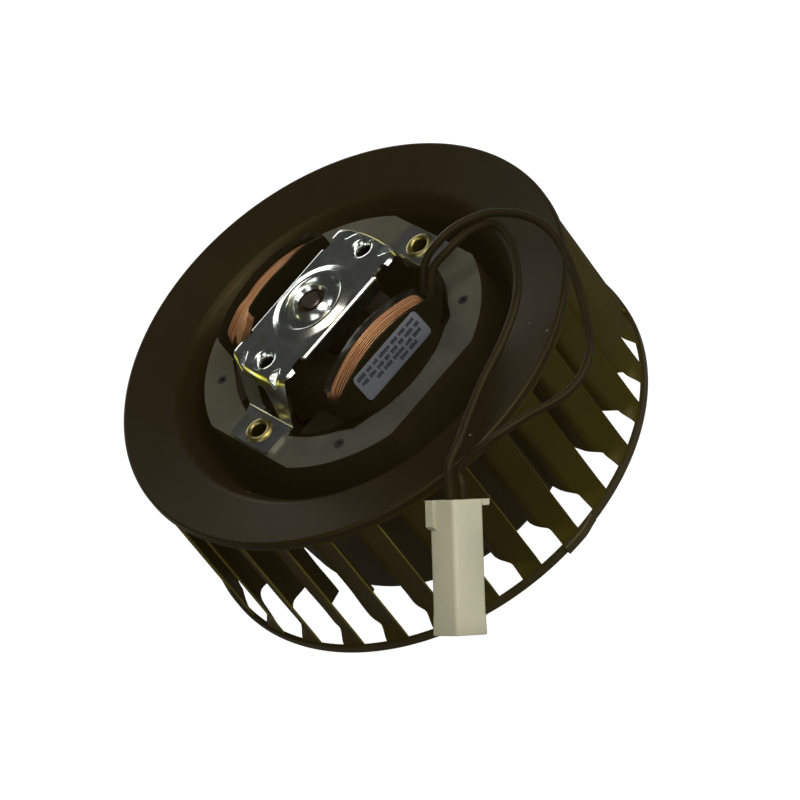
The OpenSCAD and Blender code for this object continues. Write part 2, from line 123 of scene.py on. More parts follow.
class Mat:
    """A node material built by short calls."""

    def __init__(self, **inputs):
        self.mat = bpy.data.materials.new("material")
        self.mat.use_nodes = True
        self.tree = self.mat.node_tree
        self.bsdf = self.tree.nodes["Principled BSDF"]
        self.coords = self.node("ShaderNodeTexCoord").outputs["Object"]
        for key, value in inputs.items():
            self.set(key.replace("_", " "), value)

    def node(self, kind, **props):
        n = self.tree.nodes.new(kind)
        for key, value in props.items():
            setattr(n, key, value)
        return n

    def link(self, a, b):
        self.tree.links.new(a, b)

    def feed(self, socket, value):
        """Links an output into the socket or sets its value; a colour may come as three."""
        if hasattr(value, "links"):
            self.link(value, socket)
        elif isinstance(value, tuple) and len(socket.default_value) == 4:
            socket.default_value = (*value, 1)
        else:
            socket.default_value = value

    def set(self, name, value):
        self.feed(self.bsdf.inputs[name], value)

    def noise(self, scale, detail=3, rough=0.5, stretch=None):
        n = self.node("ShaderNodeTexNoise")
        n.inputs["Scale"].default_value = scale
        n.inputs["Detail"].default_value = detail
        n.inputs["Roughness"].default_value = rough
        src = self.coords
        if stretch:
            m = self.node("ShaderNodeMapping")
            m.inputs["Scale"].default_value = stretch
            self.link(src, m.inputs["Vector"])
            src = m.outputs["Vector"]
        self.link(src, n.inputs["Vector"])
        return n.outputs["Fac"]

    def ramp(self, fac, stops):
        n = self.node("ShaderNodeValToRGB")
        while len(n.color_ramp.elements) < len(stops):
            n.color_ramp.elements.new(0.5)
        for e, (pos, col) in zip(n.color_ramp.elements, stops):
            e.position = pos
            e.color = (col, col, col, 1) if isinstance(col, (int, float)) else (*col, 1)
        self.link(fac, n.inputs["Fac"])
        return n.outputs["Color"]

    def mix(self, fac, a, b):
        n = self.node("ShaderNodeMix", data_type="RGBA")
        for slot, value in ((0, fac), (6, a), (7, b)):
            self.feed(n.inputs[slot], value)
        return n.outputs[2]

    def math(self, op, a, b=0.0, c=0.0):
        n = self.node("ShaderNodeMath", operation=op)
        for socket, value in zip(n.inputs, (a, b, c)):
            self.feed(socket, value)
        return n.outputs[0]

    def split(self, vector=None):
        n = self.node("ShaderNodeSeparateXYZ")
        self.link(vector or self.coords, n.inputs[0])
        return n.outputs

    def roughen(self, middle, spread, *grain):
        """Roughness that drifts by half the spread to either side of the middle."""
        self.set("Roughness", self.math("MULTIPLY_ADD", self.noise(*grain), spread,
                                        middle - spread / 2))

    def tint_and_glow(self):
        """What dark paint and plastic share: a warm tint in reflections and a faint painted glow
        that lifts their shade.
        """
        self.set("Specular Tint", WARM)
        self.set("Emission Color", PAINTED_GLOW)
        self.set("Emission Strength", 1.0)

    def bump(self, height, strength, distance=MM):
        n = self.node("ShaderNodeBump")
        n.inputs["Strength"].default_value = strength
        n.inputs["Distance"].default_value = distance
        self.link(height, n.inputs["Height"])
        self.link(n.outputs["Normal"], self.bsdf.inputs["Normal"])


WARM = (1.0, 0.80, 0.36)  # tint of the reflections in dark paint and plastic
# painted light: the glow below is emission on dark materials, standing in for light reaching their
# shade
PAINTED_GLOW = (0.0060, 0.0043, 0.0012)  # faint glow that keeps dark hollows from going black


def painted(dark, light, rough, spec, speck=0.0, speck_col=(0.3, 0.28, 0.24)):
    """Stoving paint: slow tone drift, fine orange peel and stray dust."""
    m = Mat()
    m.tint_and_glow()
    drift = m.noise(30, 4, 0.6)
    col = m.mix(m.ramp(drift, [(0.3, 0), (0.7, 1)]), dark, light)
    if speck:
        dots = m.node("ShaderNodeTexVoronoi")
        dots.inputs["Scale"].default_value = 300
        m.link(m.coords, dots.inputs["Vector"])
        rare = m.math("GREATER_THAN", m.split(dots.outputs["Color"])[0], 0.988)
        near = m.math("LESS_THAN", dots.outputs["Distance"], 0.16)
        hit = m.math("MULTIPLY", m.math("MULTIPLY", rare, near), speck)
        col = m.mix(hit, col, speck_col)
    m.set("Base Color", col)
    m.roughen(rough, 0.16, 220)
    m.set("Specular IOR Level", spec)
    m.bump(m.noise(900, 3, 0.6), 0.12, 0.05 * MM)
    return m.mat


def plated(base, rough, tint=None, scratch=0.3, painted_bend_glint=None):
    """Bright metal: rolling lines, cloudy roughness, a passivate tint and, when given, a painted
    yellow highlight along a bend.
    """
    m = Mat(Metallic=1.0)
    cloud = m.noise(90, 4, 0.6)
    col = base
    if tint:
        col = m.mix(m.ramp(m.noise(130, 2), [(0.5, 0), (0.68, 1)]), base, tint)
    # painted highlight: a noisy yellow band along the face bend, on faces that don't look along Y,
    # stands in for a warm reflection
    if painted_bend_glint:
        x, y, _ = m.split()
        bow = m.math("MULTIPLY", m.math("MULTIPLY", y, y), BOW / HALF_FACE ** 2 / MM)
        x = m.math("ADD", m.math("ABSOLUTE", x), bow)
        near = m.math("ABSOLUTE", m.math("SUBTRACT", x, painted_bend_glint[0] * MM))
        hit = m.math("LESS_THAN", near, painted_bend_glint[1] * MM)
        hit = m.math("MULTIPLY", hit, m.ramp(m.noise(160, 2), [(0.35, 0.1), (0.55, 1)]))
        tilt = m.math("ABSOLUTE", m.split(m.node("ShaderNodeNewGeometry").outputs["Normal"])[1])
        hit = m.math("MULTIPLY", hit, m.math("LESS_THAN", tilt, 0.3))
        col = m.mix(hit, col, painted_bend_glint[2])
    m.set("Base Color", m.mix(m.ramp(cloud, [(0.35, 0), (0.75, 0.35)]), col, (0.25, 0.24, 0.2)))
    lines = m.noise(600, 2, 0.5, (0.06, 1, 1))
    m.roughen(rough, 0.22, 160, 4, 0.65)
    m.bump(lines, scratch, 0.03 * MM)
    return m.mat


def laminated(face, side):
    """A stack of stamped sheets: grey faces that look up or down, much darker sides with fine
    lines.
    """
    m = Mat()
    m.tint_and_glow()
    z = m.split()[2]
    wave = m.math("SINE", m.math("MULTIPLY", z, 2 * math.pi / (0.65 * MM)))
    stripe = m.ramp(m.math("MULTIPLY_ADD", wave, 0.5, 0.5), [(0.25, 0), (0.6, 1)])
    tone = m.mix(m.ramp(m.noise(60, 4, 0.6), [(0.35, 0), (0.7, 1)]), face,
                 tuple(c * 1.5 for c in face))
    edge = m.mix(stripe, tuple(c * 0.8 for c in side), side)
    up = m.math("ABSOLUTE", m.split(m.node("ShaderNodeNewGeometry").outputs["True Normal"])[2])
    flat = m.math("GREATER_THAN", up, 0.6)
    m.set("Base Color", m.mix(flat, edge, tone))
    m.roughen(0.465, 0.25, 140, 4)
    m.set("Metallic", m.math("MULTIPLY_ADD", flat, 0.6, 0.05))
    m.bump(stripe, 0.15, 0.03 * MM)
    return m.mat


def plain_metal(base, rough):
    """Metal without a coat, clouded with a little grime."""
    m = Mat(Metallic=1.0)
    grime = m.ramp(m.noise(120, 4, 0.6), [(0.4, 0), (0.8, 0.6)])
    m.set("Base Color", m.mix(grime, base, (0.02, 0.018, 0.015)))
    m.roughen(rough, 0.3, 200, 4)
    m.bump(m.noise(700, 3), 0.2, 0.05 * MM)
    return m.mat


def moulded(base, rough, spec=0.4, sub=0.0, dark=False):
    """Plastic or rubber with a fine grain; sub lets some light into it."""
    m = Mat()
    if dark:
        m.tint_and_glow()
    m.set("Base Color", m.mix(m.ramp(m.noise(40, 3), [(0.3, 0), (0.7, 1)]), base,
                              tuple(c * 0.8 for c in base)))
    m.roughen(rough, 0.2, 150)
    m.set("Specular IOR Level", spec)
    if sub:
        m.set("Subsurface Weight", sub)
        m.set("Subsurface Radius", (0.004, 0.003, 0.0016))
        m.set("Subsurface Scale", 0.5)
    m.bump(m.noise(500, 4, 0.6), 0.15, 0.05 * MM)
    return m.mat


def clear_film():
    """Crumpled clear sheet: mostly seen through, with bright creases."""
    m = Mat(Roughness=0.25)
    m.set("Base Color", (0.30, 0.30, 0.27))
    streak = m.ramp(m.noise(120, 4, 0.7, (0.5, 1, 2.2)), [(0.50, 0.04), (0.60, 0.20), (0.68, 1)])
    m.set("Alpha", m.math("MULTIPLY", streak, 0.34))
    m.bump(m.noise(150, 3), 0.7, 0.4 * MM)
    return m.mat


def wound_copper(base, light):
    """Enamelled wire: each turn a slightly different brown."""
    m = Mat(Metallic=0.75)
    turn = m.noise(1, 0, 0.5, (18, 1500, 18))
    slow = m.noise(90, 3, 0.6)
    fac = m.math("MULTIPLY_ADD", turn, 0.6, m.math("MULTIPLY", slow, 0.4))
    m.set("Base Color", m.mix(m.ramp(fac, [(0.38, 0), (0.62, 1)]), base, light))
    m.roughen(0.48, 0.2, 200)
    m.bump(m.noise(600, 3), 0.3, 0.05 * MM)
    return m.mat


MATS = {
    "black_paint": painted((0.0085, 0.0060, 0.0019), (0.0110, 0.0080, 0.0028),
                           0.42, 0.22, speck=0.5),
    "blade_paint": painted((0.025, 0.019, 0.0012), (0.038, 0.030, 0.0025),
                           0.42, 0.2, speck=0.3, speck_col=(0.2, 0.17, 0.09)),
    # painted highlight: lighter olive on the blades' cut edges, where they catch the light
    "edge_highlight_paint": painted((0.11, 0.095, 0.008), (0.17, 0.15, 0.02), 0.35, 0.4),
    "ring_paint": painted((0.020, 0.015, 0.005), (0.038, 0.032, 0.016),
                          0.4, 0.3),
    "zinc": plated((0.72, 0.74, 0.70), 0.2, tint=(0.66, 0.68, 0.52),
                   scratch=0.08, painted_bend_glint=(26.0, 0.7, (0.85, 0.82, 0.12))),
    # painted shade: dark metal lining the deep part of each screw hole's drawn lip
    "shaded_bore": plain_metal((0.05, 0.045, 0.035), 0.5),
    "lamination": laminated((0.085, 0.086, 0.072), (0.010, 0.008, 0.004)),
    "shaft_steel": plain_metal((0.12, 0.095, 0.075), 0.4),
    "spring_steel": plain_metal((0.10, 0.10, 0.09), 0.4),
    "hub_steel": plain_metal((0.45, 0.44, 0.41), 0.4),
    "rotor_cast": moulded((0.014, 0.011, 0.006), 0.5, 0.15, dark=True),
    "rotor_iron": moulded((0.010, 0.008, 0.004), 0.5, 0.15, dark=True),
    "eyelet_brass": plated((0.40, 0.33, 0.10), 0.33, tint=(0.22, 0.16, 0.04)),
    "bearing_bronze": plain_metal((0.16, 0.10, 0.05), 0.45),
    "copper": wound_copper((0.34, 0.145, 0.052), (0.46, 0.25, 0.12)),
    "black_nylon": moulded((0.0035, 0.0028, 0.0014), 0.55, 0.10, dark=True),
    "film": clear_film(),
    "label": moulded((0.125, 0.128, 0.140), 0.5, 0.3),
    "print": moulded((0.022, 0.023, 0.029), 0.5, 0.3),
    "lead_pvc": moulded((0.008, 0.0065, 0.003), 0.5, 0.2, dark=True),
    "natural_nylon": moulded((0.57, 0.545, 0.38), 0.5, 0.4, sub=0.25),
    "tin": plain_metal((0.6, 0.59, 0.55), 0.3),
    "fibre": moulded((0.16, 0.055, 0.025), 0.7, 0.2),
    "felt": moulded((0.42, 0.37, 0.27), 0.9, 0.1),
}

for slot, mat in MATS.items():
    mat.name = slot

SLOT_NODES = {
    "black_paint": "wheel_back_disc",
    "blade_paint": "blade_strip",
    "ring_paint": "inlet_ring",
    "hub_steel": "wheel_hub hub_rivets",
    "spring_steel": "shaft_lock_washer stack_rivets front_bearing_retainer rear_bearing_retainer",
    "zinc": "shaft_nut front_bridge rear_bridge",
    "shaft_steel": "motor_shaft",
    "rotor_iron": "rotor_core",
    "rotor_cast": "rotor_cage",
    "eyelet_brass": "spacer_sleeves tubular_rivets",
    "fibre": "thrust_washers",
    "lamination": "stator_core",
    "copper": "shading_rings winding_near winding_far",
    "black_nylon": "bobbin_near bobbin_far coil_cover_near coil_cover_far",
    "film": "insulation_films",
    "label": "rating_label",
    "bearing_bronze": "front_bearing rear_bearing",
    "felt": "felt_rings",
    "lead_pvc": "lead_wire_outer lead_wire_inner",
    "natural_nylon": "plug_housing",
    "tin": "plug_terminals",
}

for slot, nodes in SLOT_NODES.items():
    for node in nodes.split():
        mesh = frame["nodes"][node].data
        mesh.materials.clear()
        mesh.materials.append(MATS[slot])


# ---- mesh building, in millimetres ----

def lerp(a, b, t):
    return a + (b - a) * t


def ease(t):
    t = min(1.0, max(0.0, t))
    return t * t * (3 - 2 * t)


def corner(a, b, c, r, n):
    """Points of the arc of radius r that rounds the corner at b."""
    u, v = (a - b).normalized(), (c - b).normalized()
    half = math.acos(max(-1, min(1, u.dot(v)))) / 2
    o = b + r / math.sin(half) * (u + v).normalized()
    s = b + r / math.tan(half) * u - o
    e = b + r / math.tan(half) * v - o
    start = math.atan2(s.y, s.x)
    sweep = (math.atan2(e.y, e.x) - start + 3 * math.pi) % (2 * math.pi) - math.pi
    turns = [start + sweep * k / n for k in range(n + 1)]
    return [o + r * Vector((math.cos(t), math.sin(t))) for t in turns]


def bent(points, radii, n=8):
    """A flat path with each inner corner rounded to the radius given for it."""
    p = [Vector(q) for q in points]
    path = [p[0]]
    for i in range(1, len(p) - 1):
        path += corner(p[i - 1], p[i], p[i + 1], radii[i - 1], n)
    return path + [p[-1]]


def sheet(path, t):
    """Outline of a sheet of thickness t whose middle follows the path."""
    sides = []
    for i, p in enumerate(path):
        before = (path[max(i, 1)] - path[max(i, 1) - 1]).normalized()
        after = (path[i + 1] - p).normalized() if i < len(path) - 1 else before
        left = Vector((-before.y, before.x))
        m = (left + Vector((-after.y, after.x))).normalized()
        sides.append(m / m.dot(left))
    half = t / 2
    return ([p + s * half for p, s in zip(path, sides)]
            + [p - s * half for p, s in reversed(list(zip(path, sides)))])


def smooth_path(points, n):
    """Catmull-Rom curve through the points, n steps to each span."""
    p = [Vector(q) for q in points]
    last = len(p) - 1
    curve = []
    for i in range(last):
        a, b, c, d = p[max(i - 1, 0)], p[i], p[i + 1], p[min(i + 2, last)]
        for k in range(n):
            t = k / n
            curve.append(b + t * (c - a) / 2 + t * t * (2 * a - 5 * b + 4 * c - d) / 2
                         + t ** 3 * (3 * b - a - 3 * c + d) / 2)
    return curve + [p[-1]]


def polar(r, deg, z=0.0):
    t = math.radians(deg)
    return Vector((r * math.cos(t), r * math.sin(t), z))


def rounded_square(w, h, r, n=5):
    loop = []
    for cx, cy, a0 in ((1, 1, 0), (-1, 1, 90), (-1, -1, 180), (1, -1, 270)):
        for k in range(n + 1):
            a = math.radians(a0 + 90 * k / n)
            loop.append((cx * (w / 2 - r) + r * math.cos(a), cy * (h / 2 - r) + r * math.sin(a)))
    return loop


def grid_faces(cols, rows):
    """Faces of a sheet of points laid out by columns, each with rows + 1 points."""
    n = rows + 1
    return [(c * n + k, c * n + k + 1, (c + 1) * n + k + 1, (c + 1) * n + k)
            for c in range(cols) for k in range(rows)]


class Shape:
    """Vertices and faces of one piece, gathered solid by solid."""

    def __init__(self):
        self.verts = []
        self.faces = []
        self.marks = []

    def add(self, verts, faces, mark=0):
        base = len(self.verts)
        self.verts += [Vector(v) for v in verts]
        self.faces += [tuple(i + base for i in f) for f in faces]
        self.marks += [mark] * len(faces)

    def lathe(self, loop, n=96):
        """A closed (radius, height) loop turned fully about +Z."""
        self.loft([[polar(r, 360 * i / n, z) for r, z in loop] for i in range(n)], closed=True)

    def loft(self, rings, closed=False, mark=0, open_start=False):
        """Closed rings of equal count joined one to the next, with flat ends."""
        m, n = len(rings[0]), len(rings)
        verts = [v for ring in rings for v in ring]
        spans = n if closed else n - 1
        faces = [(i * m + k, i * m + (k + 1) % m, (i + 1) % n * m + (k + 1) % m,
                  (i + 1) % n * m + k) for i in range(spans) for k in range(m)]
        if not closed:
            faces += [] if open_start else [tuple(range(m))]
            faces.append(tuple(range((n - 1) * m, n * m)))
        self.add(verts, faces, mark)

    def tube(self, path, radius, sides=14, closed=False):
        """Round tube along a path, carried without twist."""
        last = len(path) - 1
        rings = []
        u = None
        for i, p in enumerate(path):
            if closed:
                along = (path[(i + 1) % (last + 1)] - path[i - 1]).normalized()
            else:
                along = (path[min(i + 1, last)] - path[max(i - 1, 0)]).normalized()
            if u is None:
                u = along.orthogonal()
            u = (u - u.dot(along) * along).normalized()
            v = along.cross(u)
            turns = [2 * math.pi * k / sides for k in range(sides)]
            rings.append([p + radius * (math.cos(t) * u + math.sin(t) * v) for t in turns])
        self.loft(rings, closed)

    def thick(self, verts, faces, t, mark=0, edge_mark=0):
        """An open surface given a thickness t, half on either side."""
        normals = [Vector((0, 0, 0)) for _ in verts]
        edges = {}
        for f in faces:
            a, b, c = verts[f[0]], verts[f[1]], verts[f[2]]
            area = (b - a).cross(c - a)
            if len(f) == 4:
                area += (c - a).cross(verts[f[3]] - a)
            for k, i in enumerate(f):
                normals[i] += area
                j = f[(k + 1) % len(f)]
                edges[(i, j)] = edges.get((i, j), 0) + 1
        normals = [q.normalized() * t / 2 for q in normals]
        n = len(verts)
        both = [v + q for v, q in zip(verts, normals)] + [v - q for v, q in zip(verts, normals)]
        self.add(both, list(faces) + [tuple(i + n for i in reversed(f)) for f in faces],
                 0 if isinstance(mark, list) else mark)
        if isinstance(mark, list):
            self.marks[-2 * len(faces):] = mark * 2
        base = len(self.verts) - 2 * n
        rim = [(j, i, i + n, j + n) for (i, j) in edges if (j, i) not in edges]
        self.faces += [tuple(i + base for i in f) for f in rim]
        self.marks += [edge_mark] * len(rim)

    def moved(self, matrix):
        out = Shape()
        out.verts = [matrix @ v for v in self.verts]
        out.faces = list(self.faces)
        out.marks = list(self.marks)
        return out

    def join(self, other):
        base = len(self.verts)
        self.verts += other.verts
        self.faces += [tuple(i + base for i in f) for f in other.faces]
        self.marks += other.marks


def put(name, shape, body, slot, replaces=(), sharp=38, more=(), weld=False):
    """Makes the piece: its mesh, material slots, body and the nodes it stands for."""
    mesh = bpy.data.meshes.new(name)
    mesh.from_pydata([tuple(v * MM) for v in shape.verts], [], shape.faces)
    mesh.polygons.foreach_set("material_index", shape.marks)
    bm = bmesh.new()
    bm.from_mesh(mesh)
    if weld:
        bmesh.ops.remove_doubles(bm, verts=bm.verts, dist=1e-6)
    bmesh.ops.recalc_face_normals(bm, faces=bm.faces)
    bm.to_mesh(mesh)
    bm.free()
    for m in (slot, *more):
        mesh.materials.append(MATS[m])
    mesh.polygons.foreach_set("use_smooth", [True] * len(mesh.polygons))
    mesh.set_sharp_from_angle(angle=math.radians(sharp))
    obj = bpy.data.objects.new(name, mesh)
    bpy.context.scene.collection.objects.link(obj)
    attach(obj, body)
    if replaces:
        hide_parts(*replaces)
    return obj


def bevel(obj, width, segments=2, angle=35):
    """Rounds the crisp edges a little, so that they catch the light."""
    mod = obj.modifiers.new("edge", "BEVEL")
    mod.width = width * MM
    mod.segments = segments
    mod.limit_method = "ANGLE"
    mod.angle_limit = math.radians(angle)


# ---- wheel ----

DISC_T = 0.8
MOUTH_R, THROAT_R, PAN_R, HUB_HOLE_R = 53.5, 49.5, 43, 3
BLADE_T = 0.6
BLADES = 30
BLADE_LEAN, BLADE_CLOSE = 26, 105  # degrees from the rim's tangent, before and past the knee
OUTER_FLAT, INNER_FLAT, KNEE_R = 9.72, 7.92, 3.3
BAND_R = WHEEL_R - DISC_T - 0.02
BLADE_TOP = RIM_Z - 3.6
FINGER_Z = RING_Z + 2.4
NOTCH_Z = RING_TOP + 10
NOTCH_X = BAND_R - 3.2
NOTCH_R = 5
FOOT_Z = NOTCH_Z - NOTCH_R
FOOT_COLS, FOOT_ROWS = 6, 10


def make_disc():
    """Dished back disc: rim, mouth cone, throat and floor pressed from one sheet."""
    path = bent([(WHEEL_R - DISC_T / 2, RIM_Z - 2.4), (WHEEL_R - DISC_T / 2, RIM_Z - DISC_T / 2),
                 (MOUTH_R, RIM_Z - 3), (THROAT_R, RIM_Z - 8), (PAN_R, FLOOR_Z + DISC_T / 2),
                 (HUB_HOLE_R, FLOOR_Z + DISC_T / 2)], [0.5, 4, 8, 5], 14)
    s = Shape()
    s.lathe(sheet(path, DISC_T), 288)
    put("back_disc", s, "wheel", "black_paint", ["wheel_back_disc"])


class BladeLine:
    """One blade's line in plan, read by the distance along it from the rim."""

    def __init__(self, lean_off):
        lean, close = math.radians(BLADE_LEAN + lean_off), math.radians(BLADE_CLOSE + lean_off)
        start = Vector((BAND_R - BLADE_T / 2, 0))
        knee = start - OUTER_FLAT * Vector((math.sin(lean), math.cos(lean)))
        tip = knee - INNER_FLAT * Vector((math.sin(close), math.cos(close)))
        self.path = bent([start, knee, tip], [KNEE_R], 10)
        self.run = [0.0]
        for a, b in zip(self.path, self.path[1:]):
            self.run.append(self.run[-1] + (b - a).length)
        self.foot = (start.x - NOTCH_X) / math.sin(lean)

    def at(self, s):
        s = min(s, self.run[-1])
        i = max(k for k in range(len(self.run)) if self.run[k] <= s + 1e-9)
        i = min(i, len(self.run) - 2)
        return self.path[i].lerp(self.path[i + 1],
                                 (s - self.run[i]) / (self.run[i + 1] - self.run[i]))

    def columns(self):
        """Even over the foot, closer round the notch, even again to the inner edge."""
        foot, end = self.foot, self.run[-1]
        arc_end = next(s for s in [foot + 0.05 * k for k in range(1, 400)]
                       if s >= end or self.at(s).x <= NOTCH_X - NOTCH_R)
        return ([foot * k / FOOT_COLS for k in range(FOOT_COLS + 1)]
                + [lerp(foot, arc_end, 1 - math.cos(math.pi / 2 * k / 9)) for k in range(1, 10)]
                + [lerp(arc_end, end, k / 4) for k in range(1, 5)])

    def low(self, s):
        """Height of the lower edge, with its rounded notch."""
        reach = NOTCH_X - self.at(s).x
        if reach <= 0:
            return FOOT_Z
        if reach >= NOTCH_R:
            return NOTCH_Z
        return FOOT_Z + math.sqrt(max(0, NOTCH_R ** 2 - (NOTCH_R - reach) ** 2))


def blade_grid(turn, lean_off, wobble):
    """Middle surface of one blade: flat, bend, inner flat, notch and twisted foot."""
    line = BladeLine(lean_off)
    spin = Matrix.Rotation(math.radians(turn), 3, "Z")

    def point(s, z):
        p = line.at(s)
        twist = ease((FOOT_Z + 0.5 - z) / (FOOT_Z + 0.5 - RING_TOP))
        a = -s / (BAND_R - 0.3)
        p = p.lerp((BAND_R - 0.3) * Vector((math.cos(a), math.sin(a))), twist)
        ripple = wobble * noise.noise(Vector((s * 0.16, z * 0.07, turn))) * min(1, s / 5)
        p += Vector((0.2, 1)) * ripple
        return spin @ Vector((p.x, p.y, z))

    cols, rows = line.columns(), 16
    verts = [point(s, lerp(BLADE_TOP, line.low(s), k / rows)) for s in cols
             for k in range(rows + 1)]
    faces = grid_faces(len(cols) - 1, rows)
    base = len(verts)
    verts += [point(s, lerp(FOOT_Z, FINGER_Z, k / FOOT_ROWS)) for s in cols[:FOOT_COLS + 1]
              for k in range(1, FOOT_ROWS + 1)]
    grid = [[c * (rows + 1) + rows] + [base + c * FOOT_ROWS + k for k in range(FOOT_ROWS)]
            for c in range(FOOT_COLS + 1)]
    faces += [(a[k], a[k + 1], b[k + 1], b[k]) for a, b in zip(grid, grid[1:])
              for k in range(FOOT_ROWS)]
    return verts, faces


def make_blades():
    s = Shape()
    for i in range(BLADES):
        turn = 360 / BLADES * (i + 0.5) + rnd.gauss(0, 0.22)
        verts, faces = blade_grid(turn, rnd.gauss(0, 0.9), 0.5)
        # each blade's cut edges take the second slot, the painted edge highlight
        s.thick(verts, faces, BLADE_T, 0, 1)
    for z0, z1 in ((BLADE_TOP - 0.6, BLADE_TOP + 1.8), (RING_Z + 0.7, RING_TOP)):
        s.lathe([(BAND_R - BLADE_T, z0), (BAND_R, z0), (BAND_R, z1), (BAND_R - BLADE_T, z1)], 240)
    put("blades", s, "wheel", "blade_paint", ["blade_strip"], more=["edge_highlight_paint"])


def make_ring():
    """Rolled channel round the open edge, its ends lapped at one place."""
    fold, out = 0.6, BAND_R + 0.32
    seam, lap_turn, lap = -95.5, 10, 0.9
    section = bent([(out, RING_TOP), (out, RING_Z + 0.3), (BAND_R - 0.92, RING_Z + 0.3),
                    (BAND_R - 0.92, RING_Z + 2)], [0.55, 0.5], 6)
    s = Shape()
    s.lathe(sheet(section, fold), 288)
    inner, top, cut = BAND_R + 0.3, RING_TOP + 0.15, 0.25
    rings = []
    for k in range(25):
        t = k / 24
        r = BAND_R + 0.62 + lap * (1 - ease((t - 0.5) / 0.5))
        loop = [(inner, top), (r - cut, top), (r, top - cut), (r, RING_Z + cut),
                (r - cut, RING_Z), (inner, RING_Z)]
        rings.append([polar(q, seam + lap_turn * t, z) for q, z in loop])
    s.loft(rings)
    put("closing_ring", s, "wheel", "ring_paint", ["inlet_ring"])


make_disc()
make_blades()
make_ring()


# ---- bridges ----

MOUNTS = {m["name"]: m for m in frame["record"]["mounts"]}
FACE_Z = MOUNTS["bridge_screws"]["pos_m"][2] / MM
SCREW_X = MOUNTS["bridge_screws"]["dims"]["spacing_x_mm"] / 2
EYELET_X = MOUNTS["eyelets"]["dims"]["spacing_x_mm"] / 2
SHEET_T = 1.2
FACE_MID = FACE_Z - SHEET_T / 2
FOOT_MID = CORE_TOP + SHEET_T / 2
BALL_Z = FACE_Z - 4
CUP_R = 7.12
FOOT_END = core_hi.x - 0.3
FACE_BEND_X, FOOT_BEND_X = 25.3, 29.2
BEND_STEPS, FOOT_STEPS = 10, 6
# distances along the flat blank: level, start and end of the face bend and the foot bend, end
LEVEL, BEND_A, BEND_B, FOOT_A, FOOT_B, BLANK_END = 20, 24, 28.5, 42, 44.5, 55
CURL_IN, CURL_RAD = 11.1, 1.1
FLANGE_IN, FLANGE_RAD, FLANGE_END = 11.4, 0.3, 15.5
FLANGE_TURN = FLANGE_RAD * math.pi / 2
DOME_OVAL = 0.19


def dome_profile():
    cup = [Vector((CUP_R * math.sin(t), BALL_Z - FACE_MID + CUP_R * math.cos(t)))
           for t in [math.radians(60 - 2.13 * k) for k in range(11)]]
    rise = bent([(14.7, 0), (13.5, 0), (10.8, 1.05), (10.1, 1.05), (8.3, -0.85), cup[0]],
                [4, 1.4, 0.6, 0.7], 6)
    return rise + cup[1:]


DOME = dome_profile()
# lip of an extruded screw hole: radius against height over the bridge's middle surface
FUNNEL = [(4.0, 0), (3.75, -0.03), (3.5, -0.12), (3.25, -0.32), (3.0, -0.64), (2.8, -1.02),
          (2.62, -1.5), (2.5, -1.9), (2.42, -2.3), (2.4, -2.8), (2.4, -3.4), (2.4, -4.0)]


def dome_radius(x, y):
    """Distance from the shaft, measured so that the crest is an oval along the bridge."""
    r = math.hypot(x, y)
    return math.hypot(x, y * (1 + DOME_OVAL * ease((r - 6) / 3)))


def dome_ring(r, n):
    """Points round the shaft at one dome radius."""
    out = []
    for k in range(n):
        c, s = math.cos(2 * math.pi * k / n), math.sin(2 * math.pi * k / n)
        lo, hi = 0.5 * r, r
        for _ in range(24):
            mid = (lo + hi) / 2
            lo, hi = (mid, hi) if dome_radius(mid * c, mid * s) < r else (lo, mid)
        out.append((hi * c, hi * s))
    return out


def height_at(r):
    """Rise of the dome over the bridge's face at one dome radius."""
    for a, b in zip(DOME, DOME[1:]):
        if b.x <= r <= a.x:
            return lerp(a.y, b.y, (a.x - r) / max(1e-9, a.x - b.x))
    return 0.0 if r > DOME[0].x else DOME[-1].y


@functools.cache
def strip_path(bend_x):
    """Arcs of the face bend and the foot bend, in XZ, for one place of the face bend."""
    a, b = Vector((bend_x, FACE_MID)), Vector((FOOT_BEND_X, FOOT_MID))
    return (corner(Vector((0, FACE_MID)), a, b, 2.2, BEND_STEPS),
            corner(a, b, Vector((FOOT_END, FOOT_MID)), 1.4, FOOT_STEPS))


def along(points, t):
    """Point at share t of a path with equal steps."""
    i = min(len(points) - 2, int(t * (len(points) - 1)))
    return points[i].lerp(points[i + 1], t * (len(points) - 1) - i)


def strip_at(u, v):
    """Place in XZ of the bridge's middle surface at (u, v) of the blank, u >= 0."""
    share = min(1.0, abs(v) / HALF_FACE)
    face, foot = strip_path(round(FACE_BEND_X - BOW * share ** 2, 4))
    if u <= LEVEL:
        return Vector((u, FACE_MID))
    if u <= BEND_A:
        return Vector((LEVEL, FACE_MID)).lerp(face[0], (u - LEVEL) / (BEND_A - LEVEL))
    if u <= BEND_B:
        return along(face, (u - BEND_A) / (BEND_B - BEND_A))
    if u <= FOOT_A:
        return face[-1].lerp(foot[0], (u - BEND_B) / (FOOT_A - BEND_B))
    if u <= FOOT_B:
        return along(foot, (u - FOOT_A) / (FOOT_B - FOOT_A))
    end = Vector((FOOT_END, FOOT_MID))
    return foot[-1].lerp(end, (u - FOOT_B) / (BLANK_END - FOOT_B))


# pressed darts that stiffen the face bend: distance along the blank, half-width
DARTS = [(20.9, 0.0), (25.2, 2.0), (27.2, 2.0), (30.6, 0.0)]
DART_Y = 7.4
DART_SINK = 0.8  # share of the way from the bend down to a straight chord
FUNNEL_FLAT_R = 1.0  # a screw hole's radius in the blank, before its lip is drawn
SHADED_BORE_R = 2.2
LIP_CLEAR = 4.65
SLOT_SHIFT = 0.8
FOOT_FLAT_X = 30.1
RING_BAND = 10.05  # the dome's rings of points stop here, where the edge rows take over
DOME_FADE = 10.6


def dart_half(u):
    for (u0, h0), (u1, h1) in zip(DARTS, DARTS[1:]):
        if u0 <= u <= u1:
            return lerp(h0, h1, (u - u0) / (u1 - u0))
    return 0.0


